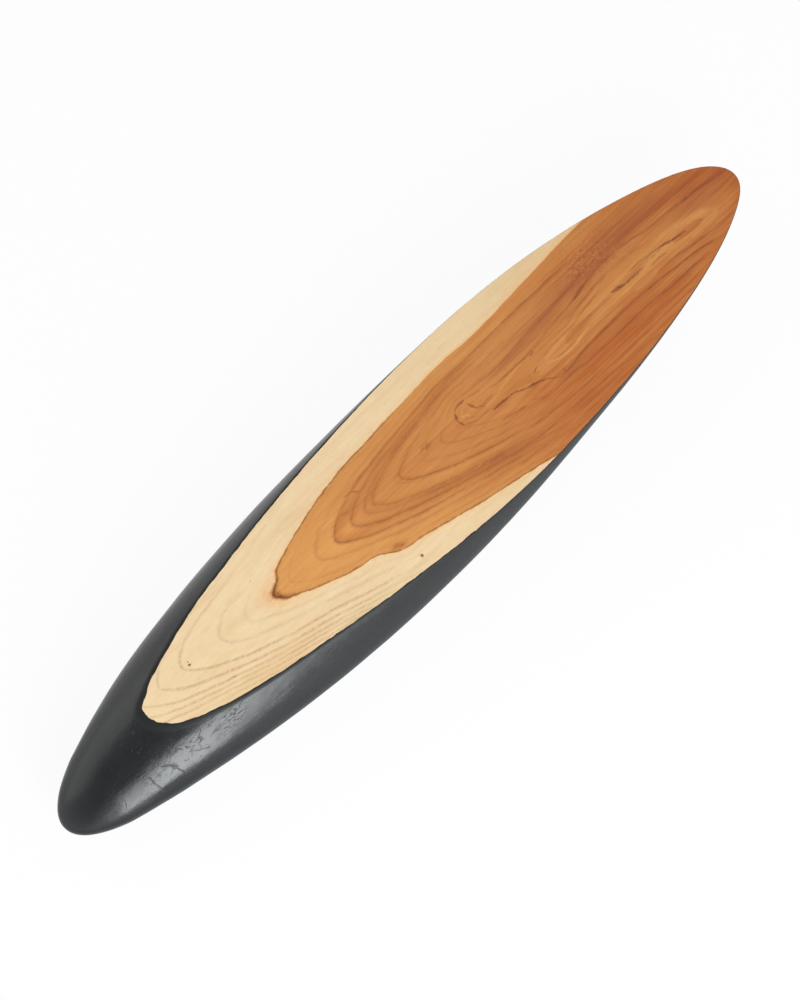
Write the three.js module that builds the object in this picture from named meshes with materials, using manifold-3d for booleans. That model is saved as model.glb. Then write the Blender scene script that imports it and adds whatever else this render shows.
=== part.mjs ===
// A long oval serving plate carved from one billet of branch wood.
// The billet is a spindle, sawn flat above for the serving face and flat below for the foot.
// The face runs aslant to the log, so it cuts through the pale sapwood into the orange heartwood,
// past the knots, to the place where the pith comes up. The carved round sides have a black finish.
// Frame: +X runs from the rounded nose to the thin tip, +Z up, with the origin in the foot plane
// under the middle of the outline. Millimetres and degrees.
import * as THREE from "three";
import { mergeVertices } from "three/addons/utils/BufferGeometryUtils.js";
import Module from "manifold-3d";

const wasm = await Module();
wasm.setup();

const { clamp, degToRad, lerp, smoothstep } = THREE.MathUtils;

// Overall size
const length = 500;
const width = 103.2;
const height = 45;

// Outline seen from above: a long oval, a little more pointed than an ellipse
const outlineShoulder = 1.92;
const outlineRoundness = 2.11;
const endPinch = 0.082;
const endBow = 2.5;
const endBowPower = 6.9;

// Girdle: the widest line of the carved sides, given by its depth under the face.
// It runs level under the nose, climbs past the middle and ends just under the face at the tip.
const girdleDepthNose = 25;
const girdleDepthTip = 1.5;
const girdleClimbStart = -99;
const girdleClimbEnd = 175;

// Section through the spindle: how high its crown would stand over the girdle before the face was
// sawn, how deep its hull would hang under it before the foot was sawn, and how round each is
const crownHeight = 40;
const crownPower = 1.1;
const crownRoundness = 1.94;
const hullDepth = 34;
const hullRoundness = 2.15;

// Black finish: its depth on the round sides, where it thins towards the sawn face, and the bare
// strip that the foot leaves under it
const finishDepth = 0.8;
const finishRim = 0.25;
const finishFeather = 8;
const footReveal = 0.5;

// Log: the pith climbs to the face at this slope and comes up at this distance past the middle
const sawSlope = 7.86;
const pithOutcrop = 182;
const pithOffset = 0.5;
const pithSkew = -1.7;
const pithRadius = 1.2;

// Heartwood: its section about its own axis, which lies as deep as the pith but bends in plan
const heartRise = 38.2;
const heartReach = 46.5;
const heartRoundness = 1.7;
const heartOffset = -2.6;
const heartSkew = -4.05;
const heartBendRadius = 5000;

// Branch knot: it starts beside the pith and swells to its eye in the face
const branchKnotX = 48;
const branchKnotOffset = 4;
const branchKnotEye = 5;
const branchKnotRoot = 2;
const branchKnotStart = 4;

// Pin knots: small twigs in the sapwood at the nose and at the side, and one just inside the
// heartwood. The one at the nose is placed from the rounded end of the face, the one at the side
// lies midway between the heartwood and the face's edge, and the last keeps off the border.
const pinKnotNoseFromTip = 34;
const pinKnotNoseOffset = 2;
const pinKnotNoseRadius = 1.1;
const pinKnotSideX = -25;
const pinKnotSideRadius = 1.2;
const pinKnotEdgeX = -27;
const pinKnotEdgeFromHeart = 3.2;
const pinKnotEdgeRadius = 1.5;
const pinKnotEdgeDepth = 9;
const pinKnotTaper = 0.55;
const pinKnotFloor = 1;

// Clearance between pieces that grew or were laid against each other
const gap = 0.3;

// The log's shapes run this share of the length to each side, well past both ends of the plate
const logReach = 0.6;

// How finely the round shapes are drawn
const spindleStations = 40;
const spindleSides = 26;
const logStations = 12;
const logSides = 48;
const pegSides = 16;
const faceTipSteps = 40;
const weldDistance = 1e-4;

const halfLength = length / 2;
const halfWidth = width / 2;
const pithRise = Math.tan(degToRad(sawSlope));

// Depth of the pith under the face
function pithDepth(x) {
  return (pithOutcrop - x) * pithRise;
}

// Sideways place of the pith
function pithSide(x) {
  return pithOffset + x * Math.tan(degToRad(pithSkew));
}

// Sideways place of the heartwood's axis
function heartSide(x) {
  return heartOffset + x * Math.tan(degToRad(heartSkew)) + (x * x) / (2 * heartBendRadius);
}

// Half width of the heartwood where the face cuts it
function heartHalfFace(x) {
  const buried = Math.min(Math.abs(pithDepth(x)) / heartRise, 1);
  return heartReach * (1 - buried ** heartRoundness) ** (1 / heartRoundness);
}

// Sizes of the spindle's section, at a share of the half length from -1, the nose, to 1, the tip
function sectionAt(share) {
  const reach = Math.abs(share);
  const oval = (1 - reach ** outlineShoulder) ** (1 / outlineRoundness);
  const fullness = oval * (1 - endPinch * reach * reach);
  const climb = smoothstep(share * halfLength, girdleClimbStart, girdleClimbEnd);
  return {
    side: -endBow * reach ** endBowPower,
    half: halfWidth * fullness,
    girdle: height - lerp(girdleDepthNose, girdleDepthTip, climb),
    crown: crownHeight * fullness ** crownPower,
    hull: hullDepth * fullness,
  };
}

// Half width of the serving face
function faceHalf(x) {
  const section = sectionAt(x / halfLength);
  const climbed = clamp((height - section.girdle) / section.crown, 0, 1);
  return section.half * (1 - climbed ** crownRoundness) ** (1 / crownRoundness);
}

// Place of the face's rounded end, where the crown of the spindle sinks below the face
function faceNose() {
  let outside = -halfLength;
  let inside = 0;
  for (let step = 0; step < faceTipSteps; step += 1) {
    const middle = (outside + inside) / 2;
    if (faceHalf(middle) > 0) {
      inside = middle;
    } else {
      outside = middle;
    }
  }
  return inside;
}

// Depth of the black finish at a height: thin at the sawn face, full below it
function finishAt(z) {
  return lerp(finishRim, finishDepth, smoothstep(height - z, 0, finishFeather));
}

// A power that keeps the sign of its base
function signedPower(base, power) {
  return Math.sign(base) * Math.abs(base) ** power;
}

// A solid from points and triangles
function solidFrom(points, triangles) {
  const vertProperties = new Float32Array(points.flat());
  const triVerts = new Uint32Array(triangles.flat());
  return new wasm.Manifold(new wasm.Mesh({ numProp: 3, vertProperties, triVerts }));
}

// A solid from one of the library's closed geometries
function solidOf(geometry) {
  geometry.deleteAttribute("normal");
  geometry.deleteAttribute("uv");
  const merged = mergeVertices(geometry, weldDistance);
  const vertProperties = merged.getAttribute("position").array;
  const triVerts = new Uint32Array(merged.index.array);
  return new wasm.Manifold(new wasm.Mesh({ numProp: 3, vertProperties, triVerts }));
}

// A skin over rings of points, each ring as long as the next, closed by a fan at both ends
function loft(rings, firstEnd, lastEnd) {
  const sides = rings[0].length;
  const points = [...rings.flat(), firstEnd, lastEnd];
  const first = points.length - 2;
  const last = points.length - 1;
  const lastRing = (rings.length - 1) * sides;
  const triangles = [];
  for (let j = 0; j < sides; j += 1) {
    const k = (j + 1) % sides;
    triangles.push([first, k, j], [last, lastRing + j, lastRing + k]);
    for (let i = 0; i < rings.length - 1; i += 1) {
      const near = i * sides;
      const far = near + sides;
      triangles.push([near + j, near + k, far + k], [near + j, far + k, far + j]);
    }
  }
  return solidFrom(points, triangles);
}

// The carved spindle before sawing, with its surface moved in by a depth that varies with height
function spindle(depthAt) {
  const rings = [];
  for (let i = 1; i < spindleStations; i += 1) {
    const share = -Math.cos((Math.PI * i) / spindleStations);
    const section = sectionAt(share);
    const ring = [];
    for (let j = 0; j < spindleSides; j += 1) {
      const angle = (2 * Math.PI * j) / spindleSides;
      const upper = Math.sin(angle) > 0;
      const bend = 2 / (upper ? crownRoundness : hullRoundness);
      const tall = upper ? section.crown : section.hull;
      const across = signedPower(Math.cos(angle), bend);
      const up = signedPower(Math.sin(angle), bend);
      const depth = Math.min(depthAt(section.girdle + tall * up), section.half / 2, tall / 2);
      ring.push([
        share * (halfLength - depth),
        section.side + across * (section.half - depth),
        section.girdle + up * (tall - depth),
      ]);
    }
    rings.push(ring);
  }
  const [nose, tip] = [-1, 1].map((share) => {
    const section = sectionAt(share);
    return [share * (halfLength - depthAt(section.girdle)), section.side, section.girdle];
  });
  return loft(rings, nose, tip);
}

// The heartwood as it ran through the whole log, grown by a margin
function heartLog(margin) {
  const rings = [];
  for (let i = 0; i <= logStations; i += 1) {
    const x = lerp(-logReach, logReach, i / logStations) * length;
    const ring = [];
    for (let j = 0; j < logSides; j += 1) {
      const angle = (2 * Math.PI * j) / logSides;
      const bend = 2 / heartRoundness;
      ring.push([
        x,
        heartSide(x) + signedPower(Math.cos(angle), bend) * (heartReach + margin),
        height - pithDepth(x) + signedPower(Math.sin(angle), bend) * (heartRise + margin),
      ]);
    }
    rings.push(ring);
  }
  const [first, last] = [-logReach, logReach].map((share) => {
    const x = share * length;
    return [x, heartSide(x), height - pithDepth(x)];
  });
  return loft(rings, first, last);
}

// Everything between two levels
function slab(bottom, top) {
  const box = new THREE.BoxGeometry(2 * length, 2 * width, top - bottom);
  box.translate(0, 0, (top + bottom) / 2);
  return solidOf(box);
}

// A round peg from its root to a point in the face, which it passes by its own thickness
function peg(root, eye, rootRadius, eyeRadius) {
  const run = new THREE.Vector3().subVectors(eye, root);
  const reach = run.length();
  const swell = (eyeRadius - rootRadius) / reach;
  const whole = reach + eyeRadius;
  const cone = new THREE.CylinderGeometry(rootRadius + swell * whole, rootRadius, whole, pegSides);
  cone.translate(0, whole / 2, 0);
  const turn = new THREE.Quaternion().setFromUnitVectors(
    new THREE.Vector3(0, 1, 0),
    run.clone().normalize(),
  );
  cone.applyQuaternion(turn);
  cone.translate(root.x, root.y, root.z);
  return solidOf(cone);
}

// A knot and the hole that it sits in: the same peg, and one that is wider and deeper by the gap
function knot(root, eye, rootRadius, eyeRadius) {
  const back = new THREE.Vector3().subVectors(root, eye).normalize().multiplyScalar(gap);
  return {
    body: peg(root, eye, rootRadius, eyeRadius).intersect(betweenFaces),
    hole: peg(root.clone().add(back), eye, rootRadius + gap, eyeRadius + gap),
  };
}

// The largest body of a cut, without the crumbs that a grazing cut can leave
function mainBody(solid) {
  return solid.decompose().sort((a, b) => b.volume() - a.volume())[0];
}

const betweenFaces = slab(0, height);
const timber = spindle((z) => finishAt(z) + gap).intersect(betweenFaces);

// The branch knot points at the pith and stops short of it
function branchKnot() {
  const x = branchKnotX;
  const eye = new THREE.Vector3(x, pithSide(x) + branchKnotOffset, height);
  const pith = new THREE.Vector3(x, pithSide(x), height - pithDepth(x));
  const outward = new THREE.Vector3().subVectors(eye, pith).normalize();
  const root = outward.multiplyScalar(branchKnotStart + pithRadius).add(pith);
  return knot(root, eye, branchKnotRoot, branchKnotEye);
}

// A pin knot in the sapwood points at the heartwood's axis and stops short of the heartwood
function sapwoodPin(x, y, radius) {
  const eye = new THREE.Vector3(x, y, height);
  const axis = new THREE.Vector3(x, heartSide(x), height - pithDepth(x));
  const inward = new THREE.Vector3().subVectors(axis, eye);
  const beyond =
    Math.abs(inward.y / heartReach) ** heartRoundness +
    Math.abs(inward.z / heartRise) ** heartRoundness;
  const cover = inward.length() * (1 - beyond ** (-1 / heartRoundness));
  const root = inward.normalize().multiplyScalar(cover - pinKnotFloor - gap).add(eye);
  return knot(root, eye, radius * pinKnotTaper, radius);
}

// The pin knot inside the heartwood's border points at the pith
function heartwoodPin() {
  const x = pinKnotEdgeX;
  const y = heartSide(x) - heartHalfFace(x) + pinKnotEdgeFromHeart;
  const eye = new THREE.Vector3(x, y, height);
  const pith = new THREE.Vector3(x, pithSide(x), height - pithDepth(x));
  const inward = new THREE.Vector3().subVectors(pith, eye).normalize();
  const root = inward.multiplyScalar(pinKnotEdgeDepth).add(eye);
  return knot(root, eye, pinKnotEdgeRadius * pinKnotTaper, pinKnotEdgeRadius);
}

// The pith from where it passes the foot to where it passes the face, and the channel round it
function pith(radius) {
  const middle = pithOutcrop - height / pithRise / 2;
  const [low, high] = [-logReach, logReach].map((share) => {
    const x = middle + share * length;
    return new THREE.Vector3(x, pithSide(x), height - pithDepth(x));
  });
  return peg(low, high, radius, radius);
}

const knotNoseX = faceNose() + pinKnotNoseFromTip;
const sideEdge = sectionAt(pinKnotSideX / halfLength).side - faceHalf(pinKnotSideX);
const sideBorder = heartSide(pinKnotSideX) - heartHalfFace(pinKnotSideX);
const branch = branchKnot();
const pinNose = sapwoodPin(knotNoseX, pithSide(knotNoseX) + pinKnotNoseOffset, pinKnotNoseRadius);
const pinSide = sapwoodPin(pinKnotSideX, (sideEdge + sideBorder) / 2, pinKnotSideRadius);
const pinEdge = heartwoodPin();

const heartwood = mainBody(
  timber
    .intersect(heartLog(0))
    .subtract(pith(pithRadius + gap))
    .subtract(branch.hole)
    .subtract(pinEdge.hole),
);
const sapwood = mainBody(
  timber.subtract(heartLog(gap)).subtract(pinNose.hole).subtract(pinSide.hole),
);
const blackFinish = mainBody(
  spindle(() => 0)
    .intersect(slab(footReveal, height))
    .subtract(spindle(finishAt)),
);

// A named mesh from a solid
function piece(name, solid, look) {
  const mesh = solid.getMesh();
  const geometry = new THREE.BufferGeometry();
  geometry.setAttribute("position", new THREE.BufferAttribute(mesh.vertProperties, 3));
  geometry.setIndex(new THREE.BufferAttribute(mesh.triVerts, 1));
  geometry.computeVertexNormals();
  const made = new THREE.Mesh(geometry, look);
  made.name = name;
  return made;
}

function look(color, roughness) {
  return new THREE.MeshStandardMaterial({ color, roughness, metalness: 0 });
}

const sapwoodLook = look(0xf0d1a5, 0.6);
const heartwoodLook = look(0xc47d47, 0.55);
const pithLook = look(0x7d452a, 0.7);
const knotLook = look(0x94592f, 0.6);
const blackLook = look(0x313233, 0.38);

const wood = new THREE.Group();
wood.add(
  piece("heartwood", heartwood, heartwoodLook),
  piece("sapwood", sapwood, sapwoodLook),
  piece("pith", pith(pithRadius).intersect(betweenFaces), pithLook),
);

const knots = new THREE.Group();
knots.add(
  piece("branch_knot", branch.body, knotLook),
  piece("pin_knot_nose", pinNose.body, knotLook),
  piece("pin_knot_side", pinSide.body, knotLook),
  piece("pin_knot_edge", pinEdge.body, knotLook),
);

const plate = new THREE.Group();
plate.add(wood, knots, piece("black_finish", blackFinish, blackLook));

export default plate;
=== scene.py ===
"""A long oval serving plate carved from one log: a flat oiled face, a black finish on the round sides.

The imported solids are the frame. Each visible piece is grown here from node trees and stands for its
solid. Lengths are metres on the sockets and properties, and millimetres inside the trees.
"""

import math

import bpy
from bpy.props import FloatProperty, FloatVectorProperty, IntProperty, PointerProperty
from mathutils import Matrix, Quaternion, Vector


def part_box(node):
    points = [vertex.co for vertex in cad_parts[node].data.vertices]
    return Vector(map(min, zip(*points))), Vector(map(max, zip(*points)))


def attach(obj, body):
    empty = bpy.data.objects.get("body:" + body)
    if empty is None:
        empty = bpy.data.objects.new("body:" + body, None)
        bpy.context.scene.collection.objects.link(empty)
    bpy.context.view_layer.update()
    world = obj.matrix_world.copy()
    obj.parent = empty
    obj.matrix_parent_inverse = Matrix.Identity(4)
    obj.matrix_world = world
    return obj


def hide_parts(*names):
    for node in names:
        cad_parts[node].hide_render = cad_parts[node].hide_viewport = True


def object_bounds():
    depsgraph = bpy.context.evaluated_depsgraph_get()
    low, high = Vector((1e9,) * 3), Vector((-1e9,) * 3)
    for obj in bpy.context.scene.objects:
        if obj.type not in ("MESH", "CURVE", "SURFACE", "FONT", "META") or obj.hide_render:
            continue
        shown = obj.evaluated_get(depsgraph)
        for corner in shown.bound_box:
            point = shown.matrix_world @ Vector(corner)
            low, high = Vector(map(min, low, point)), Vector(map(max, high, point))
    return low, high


bl_info = {
    "name": "Carved serving plate",
    "version": (1, 0, 0),
    "blender": (4, 5, 0),
    "location": "3D View > Sidebar > Plate",
    "description": "Dresses the packed serving plate with its woods and its black finish",
    "category": "Object",
}

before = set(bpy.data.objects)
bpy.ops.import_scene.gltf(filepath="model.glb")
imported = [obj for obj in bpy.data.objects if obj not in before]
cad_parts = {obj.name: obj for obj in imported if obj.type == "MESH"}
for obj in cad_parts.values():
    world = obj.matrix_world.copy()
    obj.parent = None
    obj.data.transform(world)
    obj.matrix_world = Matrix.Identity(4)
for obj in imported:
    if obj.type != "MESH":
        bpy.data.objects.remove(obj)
cad_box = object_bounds()
cad_size = cad_box[1] - cad_box[0]

MM = 0.001

# The carved spindle, in mm along the plate and as powers of its outline and sections
OUTLINE_SHOULDER = 1.92
OUTLINE_ROUNDNESS = 2.11
END_PINCH = 0.082
GIRDLE_CLIMB_START = -108
GIRDLE_CLIMB_END = 175
CROWN_POWER = 1.1
CROWN_ROUNDNESS = 1.94
HULL_ROUNDNESS = 2.15

# Stations along the spindle and sides round it: outside the finish, and where the finish meets the wood
OUTER_GRID = {"Stations": 330, "Sides": 216}
INNER_GRID = {"Stations": 230, "Sides": 150}

# Length and width of the saw's block, which reaches past the plate all round
SAW_BLOCK = (0.7, 0.3)
WELD = 1e-6
SHARP_ANGLE = math.radians(32)

# Where the finish's ragged rim calms down, because the side meets the face at a low angle there
NOSE_CREEP_START = -180
NOSE_CREEP_END = -145

# Two swellings of the crown beside the nose of the face: x, y, reach x, reach y, rise
NOSE_SWELLS = [(-185, 9, 8, 7, 0.8), (-171, 15.5, 13, 6, 0.5)]

# How the hand let the spindle's middle line and width drift: place along the plate, then mm or share
MIDDLE_DRIFT = [(-250, -3.1), (-222, -2.0), (-195, -0.8), (-155, 0.2), (-90, 0.3), (-30, -0.1), (12, -0.4)]
MIDDLE_DRIFT += [(50, -0.2), (105, 0.4), (150, 0.1), (200, -0.7), (228, -1.1), (250, -2.3)]
WIDTH_DRIFT = [(-250, 1.05), (-225, 1.035), (-195, 1.0), (-100, 1.005), (12, 0.993), (90, 1.0)]
WIDTH_DRIFT += [(160, 1.015), (215, 1.01), (250, 1.0)]

# The log: the saw's slope against the pith and where the pith comes up through the face
SAW_SLOPE = math.radians(7.86)
PITH_OUTCROP = 0.182

# Its rings, in mm, are rounded wedges about a pith that bends a little in plan
RING_ROUNDNESS = 1.7
RING_MIDDLE = [(-250, 12), (-150, 8), (-110, 4), (-60, 2), (0, 1), (50, 0), (90, -4), (182, -5.4), (250, -9)]
UPPER_SWELL = [(-250, 1.2), (-95, 1.15), (-60, 1.2), (0, 1.09), (60, 1.02), (170, 1.08), (250, 1.1)]
LOWER_SWELL = [(-250, 1.3), (-95, 1.06), (-60, 1.13), (0, 1.32), (60, 1.41), (170, 1.45), (250, 1.45)]

# Stations of the heartwood's core lie closer together round its tip: share of the stations, then share
# of the reach. The core runs on past the plate's ends, in mm, and its border is found in a few steps
CORE_STATIONS = [(0, -1), (0.12, -0.42), (0.55, -0.04), (1, 1)]
CORE_OVERRUN = 12
RING_STEPS = 4

# Places where the heartwood's border is pushed out (+) or in (-): x, y, reach x, reach y, push
BORDER_PUSHES = [
    (-28, -25, 7, 5, 1.0),
    (-43, -20, 9, 5, -0.8),
    (-89, 9, 5, 5, -0.5),
    (-90, -3, 5, 4, 0.3),
]

# The branch knot: its middle in the face, its stretch along the plate, and how fast its rings grow
KNOT_MIDDLE = (49.5, 3.4)
KNOT_STRETCH = 1.45
KNOT_START = 14.2
KNOT_GROWTH = 0.85

# The branch knot's peg, in metres: its eye in the face, its root, and the radius at each
BRANCH_EYE = (0.048, 0.00308)
BRANCH_ROOT = (0.048, 0.0003)
BRANCH_EYE_RADIUS = 0.0047
BRANCH_ROOT_RADIUS = 0.002

# The pith's peg: how far off the middle line it comes up, its slant in plan, its radius, and how far it
# runs on past the foot. Then the gap round every peg, and how far it stands over the face before sawing
PITH_SIDE = -0.0049
PITH_SLANT = math.radians(-1.7)
PITH_RADIUS = 0.0010
PITH_OVERRUN = 1.03
PEG_GAP = 0.00001
PEG_OVERRUN = 1.04

# Each cloud is moved off the others by its seed, along x, y and z
SEED_SHIFTS = (7.13, 3.71, 5.37)


def paint(red, green, blue):
    """A colour written as 0 to 255, as the linear colour that a socket takes."""
    linear = []
    for part in (red, green, blue):
        share = part / 255
        linear.append(share / 12.92 if share <= 0.04045 else ((share + 0.055) / 1.055) ** 2.4)
    return (*linear, 1.0)


class Flow:
    """A value in a node tree. Arithmetic on it adds Math nodes."""

    def __init__(self, socket):
        self.socket = socket
        self.tree = socket.id_data

    def __add__(self, other):
        return reckon("ADD", self, other)

    def __radd__(self, other):
        return reckon("ADD", other, self)

    def __sub__(self, other):
        return reckon("SUBTRACT", self, other)

    def __rsub__(self, other):
        return reckon("SUBTRACT", other, self)

    def __mul__(self, other):
        return reckon("MULTIPLY", self, other)

    def __rmul__(self, other):
        return reckon("MULTIPLY", other, self)

    def __truediv__(self, other):
        return reckon("DIVIDE", self, other)

    def __rtruediv__(self, other):
        return reckon("DIVIDE", other, self)

    def __pow__(self, other):
        return reckon("POWER", self, other)

    def __neg__(self):
        return reckon("MULTIPLY", self, -1)

    def __abs__(self):
        return reckon("ABSOLUTE", self)


def feed(socket, value):
    """Links a flow to a socket, or sets a plain value on it."""
    if isinstance(value, Flow):
        value.tree.links.new(value.socket, socket)
    else:
        socket.default_value = value


def add_node(tree, kind, inputs=None, **settings):
    """A node with its settings, and its inputs fed by name or number."""
    node = tree.nodes.new(kind)
    for setting, value in settings.items():
        setattr(node, setting, value)
    for key, value in (inputs or {}).items():
        feed(node.inputs[key], value)
    return node


def result(tree, kind, inputs=None, **settings):
    """What comes first out of a new node."""
    return Flow(add_node(tree, kind, inputs, **settings).outputs[0])


def reckon(operation, *terms):
    """One Math node."""
    tree = next(term.tree for term in terms if isinstance(term, Flow))
    return result(tree, "ShaderNodeMath", dict(enumerate(terms)), operation=operation)


def clamped(flow):
    """The flow held between 0 and 1, by a node of its own, which spares the shader's memory."""
    return result(flow.tree, "ShaderNodeClamp", {"Value": flow})


def eased(flow, start, end):
    """0 before start, 1 after end, and smooth between them."""
    inputs = {"Value": flow, "From Min": start, "From Max": end}
    return result(flow.tree, "ShaderNodeMapRange", inputs, interpolation_type="SMOOTHSTEP", clamp=False)


def between(share, low, high):
    """low at share 0, high at share 1."""
    return low + share * (high - low)


def root_of_squares(first, second):
    return reckon("SQRT", first * first + second * second)


def greater(first, second):
    return reckon("MAXIMUM", first, second)


def lesser(first, second):
    return reckon("MINIMUM", first, second)


def is_over(first, second):
    """1 where first is greater than second, and 0 elsewhere."""
    return reckon("GREATER_THAN", first, second)


def hand_curve(flow, points):
    """A smooth curve through given points, which aren't all level."""
    first, last = points[0][0], points[-1][0]
    values = [value for place, value in points]
    low, high = min(values), max(values)
    node = add_node(flow.tree, "ShaderNodeFloatCurve")
    curve = node.mapping.curves[0]
    node.mapping.extend = "HORIZONTAL"
    while len(curve.points) < len(points):
        curve.points.new(0.5, 0.5)
    for knot, (place, value) in zip(curve.points, points):
        knot.location = ((place - first) / (last - first), (value - low) / (high - low))
        knot.handle_type = "AUTO_CLAMPED"
    node.mapping.update()
    feed(node.inputs["Value"], clamped((flow - first) / (last - first)))
    return Flow(node.outputs[0]) * (high - low) + low


def parts(vector):
    """The x, y and z of a vector flow."""
    return [Flow(output) for output in add_node(vector.tree, "ShaderNodeSeparateXYZ", {0: vector}).outputs]


def joined(tree, x, y, z):
    """A vector from three flows or numbers."""
    return result(tree, "ShaderNodeCombineXYZ", {0: x, 1: y, 2: z})


def scaled(vector, factor):
    return result(vector.tree, "ShaderNodeVectorMath", {0: vector, "Scale": factor}, operation="SCALE")


def cloud(place, lengths, seed, detail=2.0, roughness=0.5, distortion=0.0):
    """Noise about zero, whose blots are as long as lengths in mm. The seed only moves it."""
    inputs = {0: place, 1: [1 / length for length in lengths], 2: [seed * shift for shift in SEED_SHIFTS]}
    fitted = result(place.tree, "ShaderNodeVectorMath", inputs, operation="MULTIPLY_ADD")
    inputs = {"Vector": fitted, "Scale": 1.0, "Detail": detail, "Roughness": roughness}
    inputs["Distortion"] = distortion
    return result(place.tree, "ShaderNodeTexNoise", inputs) - 0.5


def hump(x, y, middle_x, middle_y, reach_x, reach_y):
    """1 at its middle, fading like a bell."""
    across = (x - middle_x) / reach_x
    up = (y - middle_y) / reach_y
    return reckon("EXPONENT", -(across * across + up * up))


def total(flows):
    """The sum of flows, added up one by one as they are made."""
    added = None
    for flow in flows:
        added = flow if added is None else added + flow
    return added


def new_group(kind, name, inputs):
    """A node group and its inputs, by label. Each starts with a value, or is given as a socket type."""
    tree = bpy.data.node_groups.new(name, kind)
    for label, value in inputs.items():
        is_type = isinstance(value, str)
        kinds = {int: "NodeSocketInt", float: "NodeSocketFloat"}
        socket_type = value if is_type else kinds.get(type(value), "NodeSocketVector")
        socket = tree.interface.new_socket(label, in_out="INPUT", socket_type=socket_type)
        if not is_type:
            socket.default_value = value
    start = add_node(tree, "NodeGroupInput")
    return tree, {socket.name: Flow(socket) for socket in start.outputs if socket.name}


def close_group(tree, **outputs):
    """Gives a group its outputs, by label, and lays it out."""
    for label, flow in outputs.items():
        socket_type = "NodeSocketGeometry" if flow.socket.type == "GEOMETRY" else "NodeSocketFloat"
        tree.interface.new_socket(label, in_out="OUTPUT", socket_type=socket_type)
    add_node(tree, "NodeGroupOutput", outputs)
    arrange(tree)
    return tree


def use_group(tree, group, inputs):
    """Places a group in a tree and gives its outputs, by label."""
    kind = "GeometryNodeGroup" if tree.bl_idname == "GeometryNodeTree" else "ShaderNodeGroup"
    node = add_node(tree, kind, node_tree=group)
    for label, value in inputs.items():
        feed(node.inputs[label], value)
    return {socket.name: Flow(socket) for socket in node.outputs}


def arrange(tree):
    """Lays the nodes out in columns, each to the right of what feeds it."""
    column = {}
    waiting = list(tree.nodes)
    feeders = {node.name: set() for node in waiting}
    for link in tree.links:
        feeders[link.to_node.name].add(link.from_node.name)
    while waiting:
        ready = [node for node in waiting if feeders[node.name] <= set(column)]
        for node in ready:
            column[node.name] = 1 + max((column[name] for name in feeders[node.name]), default=-1)
        waiting = [node for node in waiting if node.name not in column]
    heights = {}
    for node in tree.nodes:
        place = column[node.name]
        node.location = (place * 200, -heights.get(place, 0))
        heights[place] = heights.get(place, 0) + 190


def metres(name, description, default):
    return FloatProperty(name=name, description=description, default=default, unit="LENGTH")


def angle(name, description, default):
    return FloatProperty(name=name, description=description, default=default, subtype="ANGLE")


def colour(name, description, *levels):
    return FloatVectorProperty(
        name=name, description=description, size=4, subtype="COLOR", default=paint(*levels)
    )


class PlateShape(bpy.types.PropertyGroup):
    """Sizes of the plate and of the log that it was cut from."""

    length: metres("Length", "Nose to tip", cad_size.x)
    width: metres("Width", "Across the widest place", cad_size.y)
    height: metres("Height", "Foot to face", cad_size.z)
    crown: metres("Crown", "How far the round side would rise over its widest line", 0.040)
    hull: metres("Hull", "How far the round side falls under its widest line", 0.034)
    nose_girdle: metres("Nose girdle", "Depth of the widest line under the face at the nose", 0.025)
    tip_girdle: metres("Tip girdle", "Depth of the widest line under the face at the tip", 0.0015)
    finish_depth: metres("Finish depth", "How deep the black finish goes on the sides", 0.0008)
    finish_rim: metres("Finish rim", "Thickness of the finish where it meets the face", 0.00006)
    finish_feather: metres("Finish feather", "Depth over which the finish thins to its rim", 0.008)
    foot_reveal: metres("Foot reveal", "Height of the bare line over the foot", 0.0005)
    hand: metres("Hand", "How far the carving wanders inside the true shape", 0.0003)
    ragged: metres("Ragged rim", "How far the finish creeps over the face's edge", 0.0006)
    saw_slope: angle("Saw slope", "Slope of the face against the pith", SAW_SLOPE)
    pith_outcrop: metres("Pith outcrop", "Where the pith comes up, from the middle", PITH_OUTCROP)
    heart_radius: metres("Heart radius", "Ring radius at the heartwood's border", 0.0382)
    seed: IntProperty(name="Seed", description="Moves the hand carving's waves", default=3)


class PlateColours(bpy.types.PropertyGroup):
    """Colours of the woods and of the finish."""

    sap_pale: colour("Pale sapwood", "Lightest sapwood", 248, 221, 178)
    sap_deep: colour("Deep sapwood", "Darkest sapwood", 233, 195, 145)
    sap_line: colour("Sapwood ring", "Ring lines in the sapwood", 178, 141, 98)
    heart_pale: colour("Pale heartwood", "Lightest heartwood", 228, 161, 88)
    heart_deep: colour("Deep heartwood", "Darkest heartwood", 184, 97, 36)
    heart_red: colour("Red heartwood", "Reddish bands", 160, 80, 44)
    heart_line: colour("Heartwood ring", "Ring lines in the heartwood", 122, 55, 22)
    finish: colour("Black finish", "The stain on the sides", 25, 28, 30)


class PlateStage(bpy.types.PropertyGroup):
    """The camera and the lights."""

    lens: FloatProperty(name="Lens", description="Focal length in mm", default=100.0)
    azimuth: angle("Azimuth", "Camera's turn about the plate", math.radians(-45.386))
    elevation: angle("Elevation", "Camera's height over the horizon", math.radians(70.0))
    distance: metres("Distance", "From the camera to the point it looks at", 1.462883)
    aim: FloatVectorProperty(
        name="Aim",
        description="Point the camera looks at",
        default=(-0.005726, -0.000873, 0.02329),
        subtype="XYZ",
    )
    softbox: FloatProperty(
        name="Softbox", description="Power of the low softbox", default=23.0, unit="POWER"
    )
    fill: FloatProperty(name="Fill", description="Power of the large dim lamp", default=2.8, unit="POWER")
    room: FloatProperty(name="Room", description="Strength of the room's light", default=0.93)


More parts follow.
